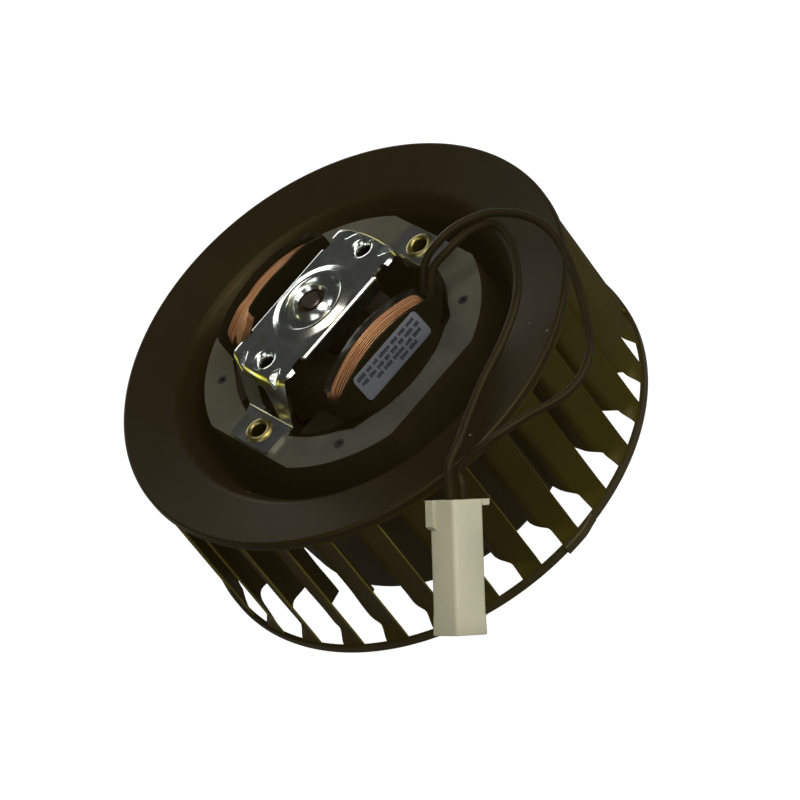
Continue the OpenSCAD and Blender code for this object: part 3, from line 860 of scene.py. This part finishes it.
def funnel_point(x, y):
    """Middle surface inside a screw hole's lip, x and y from the hole's middle."""
    r = math.hypot(x, y)
    k = (FUNNEL[0][0] - r) / (FUNNEL[0][0] - FUNNEL_FLAT_R) * (len(FUNNEL) - 1)
    i = min(len(FUNNEL) - 2, int(k))
    lip_r = lerp(FUNNEL[i][0], FUNNEL[i + 1][0], k - i)
    return x / r * lip_r, y / r * lip_r, FACE_MID + lerp(FUNNEL[i][1], FUNNEL[i + 1][1], k - i)


def curl(u, v):
    """Turned-down edges: a tight flange in the middle, a soft roll at the ends."""
    tight = u < FLANGE_END
    start, rad = (FLANGE_IN, FLANGE_RAD) if tight else (CURL_IN, CURL_RAD)
    if v <= start or u >= BEND_B:
        return v, 0.0
    fade = 1.0 if u < BEND_A else 1 - ease((u - BEND_A) / (BEND_B - BEND_A))
    past = v - start
    a = min(past / rad, math.pi / 2 if tight else 1.0)
    drop = rad * (1 - math.cos(a)) + (max(0, past - rad * math.pi / 2) if tight else 0)
    return lerp(v, start + rad * math.sin(a), fade), fade * drop


def bridge_point(u, v):
    """Pressed place of the point (u, v) of the flat blank."""
    side, across = (1 if u >= 0 else -1), (1 if v >= 0 else -1)
    u, v = abs(u), abs(v)
    if math.hypot(u - SCREW_X, v) < FUNNEL[0][0]:
        x, y, z = funnel_point(u - SCREW_X, v)
        return Vector((side * (SCREW_X + x), across * y, z))
    x, z = strip_at(u, v)
    if u < DOME[0].x:
        z += height_at(dome_radius(x, v)) * (1 - ease((v - DOME_FADE) / 0.8))
    y, drop = curl(u, v)
    z -= drop
    half = dart_half(u)
    if abs(v - DART_Y) < half:
        first, last = DARTS[0][0], DARTS[-1][0]
        chord = strip_at(first, DART_Y).lerp(strip_at(last, DART_Y), (u - first) / (last - first))
        sink = (1 - abs(v - DART_Y) / half) * DART_SINK
        x, z = lerp(x, chord.x, sink), lerp(z, chord.y, sink)
    return Vector((side * x, across * y, z))


def bridge_outline():
    q = [(14.4, 15.9), (14.9, 15.75), (15.15, 15.3), (15.15, 13), (15.15, 11.6), (15.3, 11.1),
         (15.7, 10.8), (16.4, 10.75), (18.6, 10.75), (19.2, 10.85), (19.6, 11.3), (19.9, 11.9),
         (20.4, 12.35), (23.2, 12.35), (24.4, 12.25), (25.6, 11.95), (26.8, 11.6),
         (28.5, 11.35), (35, 10.7), (42, 9.95), (44.5, 9.9), (45.4, 9.7), (46.4, 9.1),
         (47.4, 8.75), (48.6, 8.65), (53.6, 8.6), (54.5, 8.25), (54.9, 7.5), (55, 6.6)]
    top = [(-u, v) for u, v in reversed(q)] + q
    return top + [(u, -v) for u, v in reversed(top)]


def ring_points(cx, cy, r, n):
    return [(cx + r * math.cos(2 * math.pi * k / n), cy + r * math.sin(2 * math.pi * k / n))
            for k in range(n)]


def split_edge(loop, step):
    """The same loop with points added, so that no step is longer than the one given."""
    out = []
    for a, b in zip(loop, loop[1:] + loop[:1]):
        n = max(1, math.ceil(math.hypot(b[0] - a[0], b[1] - a[1]) / step))
        out += [(lerp(a[0], b[0], k / n), lerp(a[1], b[1], k / n)) for k in range(n)]
    return out


def inside(p, loop):
    hit = False
    for a, b in zip(loop, loop[1:] + loop[:1]):
        if (a[1] > p[1]) != (b[1] > p[1]):
            if p[0] < (b[0] - a[0]) * (p[1] - a[1]) / (b[1] - a[1]) + a[0]:
                hit = not hit
    return hit


def near_loop(p, loop, d):
    """Whether the point lies closer than d to the closed loop."""
    for a, b in zip(loop, loop[1:] + loop[:1]):
        ax, ay, bx, by = a[0], a[1], b[0], b[1]
        span = (bx - ax) ** 2 + (by - ay) ** 2
        ahead = (p[0] - ax) * (bx - ax) + (p[1] - ay) * (by - ay)
        t = 0 if span == 0 else max(0, min(1, ahead / span))
        if (p[0] - ax - t * (bx - ax)) ** 2 + (p[1] - ay - t * (by - ay)) ** 2 < d * d:
            return True
    return False


def bridge_holes():
    """Openings of the blank: shaft, screws, eyelets and the slots in the legs."""
    foot_scale = (BLANK_END - FOOT_B) / (FOOT_END - FOOT_FLAT_X)
    eyelet_u = FOOT_B + (EYELET_X - FOOT_FLAT_X) * foot_scale
    holes = [ring_points(0, 0, DOME[-1].x, 96)]
    holes += [ring_points(s * SCREW_X, 0, FUNNEL_FLAT_R, 48) for s in (-1, 1)]
    holes += [ring_points(s * eyelet_u, 0, 2.93 * foot_scale, 48) for s in (-1, 1)]
    half = [(31.2, 1.2), (31.5, 1.6), (32.1, 1.8), (41.4, 3.4), (42.2, 3.2), (42.5, 2.5)]
    slot = [(u, -v) for u, v in half] + half[::-1]
    for s in (-1, 1):
        holes.append(split_edge([(s * u, v + SLOT_SHIFT * s) for u, v in slot], 0.5))
    return holes


def dart_lines():
    """Folds of the pressed darts: two edges and a valley each, as open lines of points."""
    lines = []
    for s, c, flank in [(s, c, f) for s in (-1, 1) for c in (-1, 1) for f in (-1, 0, 1)]:
        way = [(u, c * DART_Y + flank * half) for u, half in DARTS]
        for (ua, va), (ub, vb) in zip(way, way[1:]):
            n = math.ceil((ub - ua) / 0.4)
            lines.append([(s * lerp(ua, ub, k / n), lerp(va, vb, k / n)) for k in range(n + 1)])
    return lines


def pressed_points():
    """Points that follow the flange, the dome and the screw holes' lips."""
    rows = [FLANGE_IN + FLANGE_TURN * k / 6 for k in range(7)]
    rows += [RING_BAND + 0.15 + 0.2 * k for k in range(6)]
    pts = [(-15 + 0.5 * i, side * row) for row in rows for i in range(61) for side in (-1, 1)]
    radii = [DOME[k].x for k in range(1, len(DOME) - 1)]
    for r in [r for a, r in zip([99] + radii, radii) if a - r > 0.05]:
        pts += [p for p in dome_ring(r, 96) if abs(p[1]) < RING_BAND]
    steps = [lerp(FUNNEL_FLAT_R, FUNNEL[0][0], k / 20) for k in range(1, 21)] + [LIP_CLEAR - 0.3]
    for s in (-1, 1):
        for r in steps:
            pts += ring_points(s * SCREW_X, 0, r, 48)
    return pts


def is_free(p, outline, holes):
    """Whether a grid point is clear of every feature that has points of its own."""
    u, v = abs(p[0]), abs(p[1])
    if dome_radius(u, v) < DOME[1].x + 0.3 and v < RING_BAND + 0.15:
        return False
    if math.hypot(u - SCREW_X, v) < LIP_CLEAR:
        return False
    if u < 15.2 and RING_BAND + 0.05 < v < FLANGE_IN + FLANGE_TURN + 0.12:
        return False
    if abs(dart_half(u) - abs(v - DART_Y)) < 0.15:
        return False
    if not inside(p, outline) or near_loop(p, outline, 0.25):
        return False
    return not any(inside(p, h) or near_loop(p, h, 0.25) for h in holes
                   if abs(h[0][0] - p[0]) < 14)


def grid_points(outline, holes):
    """Even grid over the blank, finer at its edges and round the face bends."""
    pts = []
    u = -BLANK_END
    while u <= BLANK_END:
        fine = 19.5 < abs(u) < 31
        v = -15.6
        while v <= 15.6:
            if is_free((u, v), outline, holes):
                pts.append((u, v))
            v += 0.4 if fine or abs(v) > 10.4 else 0.8
        u += 0.4 if fine else 0.8
    return pts


def bridge_surface():
    """Flat blank with its holes, triangulated, then pressed to shape."""
    outline = split_edge(bridge_outline(), 0.6)
    holes = bridge_holes()
    pts, edges = [], []
    for loop in [outline] + holes:
        n, base = len(loop), len(pts)
        pts += loop
        edges += [(base + i, base + (i + 1) % n) for i in range(n)]
    for line in dart_lines():
        edges += [(len(pts) + k, len(pts) + k + 1) for k in range(len(line) - 1)]
        pts += line
    pts += pressed_points() + grid_points(outline, holes)
    flat, _, tris, _, _, _ = geometry.delaunay_2d_cdt([Vector(p) for p in pts], edges, [], 0, 1e-5)
    kept = []
    for tri in tris:
        mid = sum((flat[i] for i in tri), Vector((0, 0))) / len(tri)
        if inside(mid, outline) and not any(inside(mid, h) for h in holes):
            kept.append(tuple(tri))
    used = sorted({i for tri in kept for i in tri})
    index = {v: k for k, v in enumerate(used)}
    verts = [bridge_point(flat[i].x, flat[i].y) for i in used]
    faces, marks = [], []
    for tri in kept:
        a, b, c = (flat[i] for i in tri)
        ccw = (b - a).cross(c - a) > 0
        faces.append(tuple(index[i] for i in (tri if ccw else reversed(tri))))
        mid = (a + b + c) / 3
        # faces deep in a screw hole's lip get the dark painted shade
        marks.append(1 if math.hypot(abs(mid.x) - SCREW_X, mid.y) < SHADED_BORE_R else 0)
    return verts, faces, marks


def flip_over():
    """Turns a front-end part into its twin under the stack."""
    return Matrix.Translation((0, 0, 2 * CORE_MID)) @ Matrix.Diagonal((1, 1, -1, 1))


def make_bridges():
    verts, faces, marks = bridge_surface()
    front = Shape()
    front.thick(verts, faces, SHEET_T, marks)
    for end, shape in (("front", front), ("rear", front.moved(flip_over()))):
        put(end + "_bridge_plate", shape, "motor_frame", "zinc", [end + "_bridge"], more=["shaded_bore"])


def make_eyelets():
    """Brass tubes, each end rolled over into a full round lip."""
    s = Shape()
    hole, lip = 2.35, 4.25
    z = FOOT_MID + SHEET_T / 2
    loop = [(hole, CORE_MID), (hole, z - 0.1), (hole + 0.12, z + 0.3), (hole + 0.42, z + 0.55),
            (hole + 0.85, z + 0.66), (hole + 1.3, z + 0.6), (lip - 0.25, z + 0.4), (lip, z + 0.12),
            (lip - 0.02, z + 0.02), (2.9, z + 0.02), (2.9, CORE_MID)]
    back = [(r, 2 * CORE_MID - q) for r, q in reversed(loop)][1:-1]
    one = Shape()
    one.lathe(loop + back, 72)
    for x in (-EYELET_X, EYELET_X):
        s.join(one.moved(Matrix.Translation((x, 0, 0))))
    put("brass_eyelets", s, "motor_frame", "eyelet_brass", ["tubular_rivets"], sharp=60)


make_bridges()
make_eyelets()

# ---- coils, films, covers and label ----

COIL_IN, COIL_OUT = 21.8, 26.2
COIL_W, RISE, ARCH_R = 39, 25.9, 36.5
WIRE, WIRE_ROWS = 0.46, 8
POLE_X, POLE_Z = 9.65, 11.15  # half the hole that the pole passes through


def arch_top(x, rise=RISE, r=ARCH_R):
    return CORE_MID + rise - r + math.sqrt(r * r - x * x)


def coil_loop(inset):
    """The winding's outline, pulled in by inset, as points in XZ round the coil."""
    half = COIL_W / 2 - inset
    r = ARCH_R - inset
    rise = RISE - inset
    top = [(x, arch_top(x, rise, r)) for x in [half * (-1 + 2 * k / 40) for k in range(41)]]
    side_z = top[-1][1]
    lower = [(x, 2 * CORE_MID - z) for x, z in reversed(top)]
    right = [(half, lerp(side_z, 2 * CORE_MID - side_z, k / 12)) for k in range(1, 12)]
    left = [(-x, z) for x, z in reversed(right)]
    loop = top + right + lower + left
    for _ in range(3):
        loop = [((a[0] + 2 * b[0] + c[0]) / 4, (a[1] + 2 * b[1] + c[1]) / 4)
                for a, b, c in zip(loop[-1:] + loop[:-1], loop, loop[1:] + loop[:1])]
    return loop


def strand(far, inset, y, seed):
    """One turn of wire round a coil; the far coil sags toward the shaft at its -X end."""
    share = (y - COIL_IN) / (COIL_OUT - COIL_IN)
    inset += (0.7 if far else 2.0) * share ** 1.6
    pts = []
    for x, z in coil_loop(inset):
        jitter = 0.16 * noise.noise(Vector((x * 0.15 + seed * 3.1, z * 0.15, seed)))
        sag = ease((-6 - x) / 10) if far and z > CORE_MID else 0
        y_now = y + jitter - 2.6 * sag * (1 - share)
        z -= abs(jitter) * 0.5 - 0.55 * min(1, 3 * sag)
        pts.append(Vector((x, y_now if far else -y_now, z)))
    return pts


def make_winding(far):
    """Wound turns: strands laid side by side round the arched coil."""
    name = "far" if far else "near"
    s = Shape()
    y0, y1 = COIL_IN + WIRE / 2, COIL_OUT - WIRE / 2
    count = int((COIL_OUT - COIL_IN) / WIRE) + (5 if far else 0)
    loose = random.Random(11 + far)
    for k in range(count):
        inset = WIRE / 2 + 0.25 * loose.random() * (k % 3 == 0)
        y = lerp(y0, y1, k / (count - 1))
        s.tube(strand(far, inset, y, k + 40 * far), WIRE / 2 * 1.04, 8, closed=True)
    for row in range(1, WIRE_ROWS):
        for y in (y0, y1):
            inset = WIRE / 2 + row * WIRE * 0.93
            s.tube(strand(far, inset, y, 90 + row + 40 * far), WIRE / 2 * 1.04, 6, closed=True)
    ring = []
    near, away = (y0, y1) if far else (-y0, -y1)
    for x, z in coil_loop(WIRE * 0.6 + 2.0):
        f = max(abs(x) / POLE_X, abs(z - CORE_MID) / POLE_Z)
        inner_x, inner_z = x / f, CORE_MID + (z - CORE_MID) / f
        ring.append([Vector((x, near, z)), Vector((x, away, z)),
                     Vector((inner_x, away, inner_z)), Vector((inner_x, near, inner_z))])
    s.loft(ring, closed=True)
    put("winding_turns_" + name, s, "motor_frame", "copper", ["winding_" + name], sharp=50)


def make_films():
    """Thin clear sheets between the coils and their bobbins, standing a little proud."""
    s = Shape()
    for far in (False, True):
        for up in (1, -1):
            side = 1 if far else -1
            verts = []
            n, rows = 48, 5
            for i in range(n + 1):
                x = lerp(-19.2, 19.2, i / n)
                ragged = 0.5 * noise.noise(Vector((x * 0.35, 7.0 * far, up)))
                top = arch_top(x, RISE + (-0.8 if far else 1.7) + ragged, ARCH_R)
                for k in range(rows + 1):
                    z = lerp(CORE_TOP + 3, top, k / rows)
                    wave = 0.25 * noise.noise(Vector((x * 0.12, k * 0.3, 5 * far + up)))
                    y = side * (21.55 - 0.35 * (k / rows) ** 2 + wave * k / rows)
                    verts.append(Vector((x, y, z if up > 0 else 2 * CORE_MID - z)))
            s.thick(verts, grid_faces(n, rows), 0.14)
    put("clear_films", s, "motor_frame", "film", ["insulation_films"])


COVER_T = 1.2
COVER_FOOT_Y, COVER_TOP_Y = 30.3, 26.8  # the hood wall's middle, at the stack and at its top
NEAR_TOP, FAR_TOP = 13.1, 14.9
BASE_R, BASE_IN = 33.1, 13.2


def hood_plan(far):
    """Wall outline in plan, at the stack and at the top, from end to end."""
    low = [(20.4, 21.6), (20.4, 23.8), (19.6, 25.4), (16.0, 27.9), (12.6, 30.2),
           (8, COVER_FOOT_Y), (0, COVER_FOOT_Y)]
    top = [(20.2, 21.6), (20.2, 25.2), (19.4, 26.5)]
    top += [(x, COVER_TOP_Y) for x in (16.0, 12.6, 8, 0)]
    high = FAR_TOP if far else NEAR_TOP
    rise = [high - 3.0 * (x / 15) ** 2 for x, _ in top]
    rise[0] = rise[1] = rise[2] - 0.2
    ends = list(zip(low, top, rise))
    mirror = [((-a[0], a[1]), (-b[0], b[1]), c) for a, b, c in reversed(ends[:-1])]
    return ends + (mirror[:-1] if far else mirror)


def hood_wall(far, rows=12):
    """The leaning wall's columns of points, from end to end."""
    side = 1 if far else -1
    plan = [(Vector(low), Vector(top), rise) for low, top, rise in hood_plan(far)]
    cols = []
    for here, there in zip(plan, plan[1:]):
        cols += [[lerp(a, b, k / 5) for a, b in zip(here, there)] for k in range(5)]
    cols.append(plan[-1])
    verts = []
    for low, top, rise in cols:
        for k in range(rows + 1):
            p = low.lerp(top, k / rows)
            verts.append(Vector((p.x, side * p.y, lerp(CORE_TOP + 0.2, rise, k / rows))))
    return verts, grid_faces(len(cols) - 1, rows)


def make_cover(far):
    """Moulded hood: a wall that leans over the coil and a base that fills the ring."""
    name = "far" if far else "near"
    side = 1 if far else -1
    s = Shape()
    verts, faces = hood_wall(far)
    s.thick(verts, faces, 1.9 if far else COVER_T - 0.1)
    a0, n = math.asin(BASE_IN / BASE_R), 40
    turns = [lerp(a0, math.pi - a0, k / n) for k in range(n + 1)]
    loop = [(BASE_R * math.cos(t), BASE_R * math.sin(t)) for t in turns]
    loop += [(-20.8, BASE_IN), (-20.8, 27.4), (20.8, 27.4), (20.8, BASE_IN)]
    s.loft([[Vector((x, side * y, z)) for x, y in loop] for z in (CORE_TOP, CORE_TOP + COVER_T)])
    if far:
        fence = [Vector((x, 21.3, z)) for x in [lerp(-20, 20, k / 40) for k in range(41)]
                 for z in (CORE_TOP + 2, arch_top(x) + 0.3 + 2.2 * ease((x - 5) / 13))]
        s.thick(fence, grid_faces(40, 1), 0.8)
    obj = put("coil_hood_" + name, s, "motor_frame", "black_nylon", ["coil_cover_" + name])
    bevel(obj, 0.25)


LABEL_AT = (0.1, 6.6)  # along the hood, and down its wall from the top


def bar(x, y, w, h, z0, z1):
    return [[Vector((x + a * w / 2, y + b * h / 2, z)) for a, b in
             ((1, 1), (-1, 1), (-1, -1), (1, -1))] for z in (z0, z1)]


def make_label():
    """Stuck-on rating plate with rounded corners, its print only rows of plain bars."""
    loop = rounded_square(26.5, 9, 1.3, 6)
    lean = math.atan((COVER_FOOT_Y - COVER_TOP_Y) / (NEAR_TOP - CORE_TOP))
    z = NEAR_TOP - LABEL_AT[1] * math.cos(lean)
    y = -(lerp(COVER_FOOT_Y, COVER_TOP_Y, (z - CORE_TOP) / (NEAR_TOP - CORE_TOP)) + COVER_T / 2)
    place = (Matrix.Translation((LABEL_AT[0], y - 0.1, z))
             @ Matrix.Rotation(math.pi / 2 - lean, 4, "X"))
    s = Shape()
    s.loft([[Vector((x * f, y * f, z)) for x, y in loop]
            for f, z in ((1.0, -0.08), (1.0, 0.10), (0.992, 0.15))])
    words = random.Random(5)
    for row, start, end in ((2.9, -11.9, 11.4), (1.0, -11.6, 11.8), (-0.9, -7.0, 11.6),
                            (-2.7, 1.5, 8.5)):
        x = start
        while x < end:
            for _ in range(words.choice((3, 4, 5, 7))):
                if x < end:
                    s.loft(bar(x, row, 0.5, 1.25 * words.choice((0.75, 1, 1)), 0.12, 0.18),
                           mark=1)
                x += 0.62
            x += 0.75
    put("rating_plate", s.moved(place), "motor_frame", "label", ["rating_label"], more=["print"])


for far in (False, True):
    make_winding(far)
    make_cover(far)
make_films()
make_label()

# ---- lead and plug ----

PLUG_TURN = (-22.15, 49.63, -2.1)
PLUG_TOP = Vector((-24.9, -76.5, RIM_Z - 0.4))
PLUG_L, PLUG_W = 36.6, 10.7
PIN_X, CAVITY_R = 2.1, 1.55
LEAD_R = 1.2
OUTER_WAY = [
    (22.6, -17.2, 2.6), (28, -16.2, 8.4), (33.5, -17.8, 11.2), (40.5, -19.8, 11.8),
    (48.2, -24.6, 10.8), (53, -33.9, 9.3), (53.6, -43, 7.5), (50.5, -52.4, 5.6),
    (44.7, -62.4, 4), (37.5, -72, 1.8), (30.6, -79.9, 0.8), (22.3, -84.6, 0.8),
    (13.7, -85.3, 1.8), (3.5, -82, 3.8), (-7.7, -79, 5.4)]
INNER_WAY = [
    (22.2, -20.2, 2.4), (27.6, -19, 7), (33.6, -20.6, 9), (41.6, -22.8, 9.6),
    (46.6, -27.4, 9.4), (46, -34.4, 9.1), (41.6, -42, 8.6), (34.8, -49.8, 8),
    (26.9, -55.2, 7.4), (16.6, -59.4, 6.8), (5.4, -62.6, 6.3), (-5, -67.1, 6.2),
    (-13.5, -71.4, 6.4)]


def plug_frame():
    x, y, z = (math.radians(a) for a in PLUG_TURN)
    turn = (Matrix.Rotation(z, 4, "Z") @ Matrix.Rotation(y, 4, "Y") @ Matrix.Rotation(x, 4, "X"))
    return Matrix.Translation(PLUG_TOP) @ turn


def make_leads():
    """Two lead wires from the near coil to the plug."""
    at = plug_frame()
    for name, way, x in (("outer", OUTER_WAY, PIN_X), ("inner", INNER_WAY, -PIN_X)):
        tail = [at @ Vector((x, 0, z)) for z in (9, 3, -3, -9)]
        path = smooth_path([Vector(p) for p in way] + tail, 10)
        s = Shape()
        s.tube(path, LEAD_R, 20)
        put("lead_" + name, s, "motor_frame", "lead_pvc", ["lead_wire_" + name], sharp=60)


def plug_top(s):
    """Closes the barrel's top round its two wire cavities."""
    outline = [Vector(p) for p in rounded_square(PLUG_W - 0.25, PLUG_W - 0.25, 1.3)]
    pts, edges = list(outline), [(i, (i + 1) % len(outline)) for i in range(len(outline))]
    for cx in (-PIN_X, PIN_X):
        base = len(pts)
        pts += [Vector(p) for p in ring_points(cx, 0, CAVITY_R, 24)]
        edges += [(base + i, base + (i + 1) % 24) for i in range(24)]
    flat, _, tris, _, _, _ = geometry.delaunay_2d_cdt(pts, edges, [], 0, 1e-5)
    kept = []
    for tri in tris:
        mid = sum((flat[i] for i in tri), Vector((0, 0))) / 3
        if all((mid - Vector((cx, 0))).length > CAVITY_R for cx in (-PIN_X, PIN_X)):
            kept.append(tuple(tri))
    s.add([Vector((v.x, v.y, 0)) for v in flat], kept)
    for cx in (-PIN_X, PIN_X):
        s.loft([[Vector((x, y, z)) for x, y in ring_points(cx, 0, CAVITY_R, 24)]
                for z in (0, -5)], open_start=True)


def make_plug():
    """Two-way housing: square barrel, latch collar, thumb tab and open cavities."""
    s = Shape()
    w = PLUG_W
    barrel = [(0, w - 0.25, 1.3), (-0.25, w, 1.4), (-30.5, w, 1.4), (-31.4, w + 0.12, 1.3),
              (0.3 - PLUG_L, w + 0.3, 1.2), (-PLUG_L, w, 1.1), (-PLUG_L, w * 0.80, 0.6),
              (6 - PLUG_L, w * 0.78, 0.6)]
    s.loft([[Vector((x, y, z)) for x, y in rounded_square(side, side, r)]
            for z, side, r in barrel], open_start=True)
    plug_top(s)
    collar = [(-w / 2 - 1.1, w / 2 - 3.2), (-w / 2 + 0.5, w / 2 - 3.2),
              (-w / 2 + 0.5, w / 2), (-w / 2 - 1.1, w / 2)]
    s.loft([[Vector((x, y, z)) for x, y in collar] for z in (0, -7.2)]
           + [[Vector((max(x, -w / 2), y, -8)) for x, y in collar]])
    tab = [(w / 2 - 0.5, -w / 2), (w / 2 + 2.0, -w / 2), (w / 2 + 2.0, 2), (w / 2 - 0.5, 2)]
    s.loft([[Vector((x, y, z)) for x, y in tab] for z in (0, -1.2)]
           + [[Vector((min(x, w / 2 + 1.7), y, -1.7)) for x, y in tab]])
    obj = put("plug_shell", s.moved(plug_frame()), "motor_frame", "natural_nylon",
              ["plug_housing"], weld=True)
    bevel(obj, 0.22, 3, 50)


make_leads()
make_plug()


# ---- stage ----

FLOOR_GAP = 0.03  # in metres


def make_floor():
    bm = bmesh.new()
    bmesh.ops.create_grid(bm, x_segments=2, y_segments=2, size=4)
    mesh = bpy.data.meshes.new("floor")
    bm.to_mesh(mesh)
    bm.free()
    floor = bpy.data.objects.new("floor", mesh)
    floor.location = (0, 0, CAD_BOX[0].z - FLOOR_GAP)
    bpy.context.scene.collection.objects.link(floor)
    m = Mat()
    m.mat.name = "floor"
    m.set("Base Color", (0.16, 0.16, 0.155))
    m.set("Roughness", 0.9)
    m.set("Specular IOR Level", 0.0)
    m.set("Emission Color", (1, 1, 1))
    path = m.node("ShaderNodeLightPath")
    behind = m.ramp(m.math("MULTIPLY", m.split()[1], 2.5), [(0.3, 0.02), (0.7, 0.7)])
    m.set("Emission Strength", m.mix(path.outputs["Is Camera Ray"], behind, (1, 1, 1)))
    mesh.materials.append(m.mat)


def make_world():
    world = bpy.data.worlds.new("world")
    bpy.context.scene.world = world
    world.use_nodes = True
    tree = world.node_tree
    back = tree.nodes["Background"]
    path = tree.nodes.new("ShaderNodeLightPath")
    mix = tree.nodes.new("ShaderNodeMix")
    mix.data_type = "FLOAT"
    mix.inputs[2].default_value = 0.045
    mix.inputs[3].default_value = 1.0
    tree.links.new(path.outputs["Is Camera Ray"], mix.inputs[0])
    tree.links.new(mix.outputs[0], back.inputs["Strength"])
    back.inputs["Color"].default_value = (1, 1, 1, 1)


def softbox(name, way, far, wide, tall, power, along=(0, 1, 0), tint=(1, 1, 1)):
    """A soft panel seen from the part along `way`, given in the camera's axes."""
    axes = Matrix((RIGHT, UP, BACK)).transposed()
    back = (axes @ Vector(way)).normalized()
    up = axes @ Vector(along)
    up = (up - up.dot(back) * back).normalized()
    data = bpy.data.lights.new(name, "AREA")
    data.shape = "RECTANGLE"
    data.size, data.size_y = wide, tall
    data.energy = power
    data.color = tint
    lamp = bpy.data.objects.new(name, data)
    turn = Matrix((up.cross(back), up, back)).transposed().to_4x4()
    lamp.matrix_world = Matrix.Translation(back * far) @ turn
    lamp.visible_camera = False
    bpy.context.scene.collection.objects.link(lamp)


make_floor()
make_world()
softbox("key", (-0.35, 0.60, 0.60), 0.8, 0.35, 0.35, 1.5, tint=(1, 0.97, 0.86))
softbox("front", (0.22, 0.38, 0.90), 0.95, 0.55, 0.42, 4.6)
softbox("fill", (0.78, 0.45, 0.42), 0.85, 0.45, 0.45, 2.6, tint=(0.93, 0.97, 1))
softbox("back", (-0.523, 0.561, -0.640), 0.9, 0.6, 0.38, 1.9, along=(0.28, -0.38, -0.48))
softbox("side", (-0.92, -0.27, -0.31), 0.8, 0.2, 0.2, 0.2, tint=(1, 0.97, 0.6))
softbox("low", (-0.30, -0.46, 0.83), 0.8, 0.45, 0.45, 1.1, tint=(0.97, 0.98, 1))

bpy.context.scene.view_settings.view_transform = "Standard"
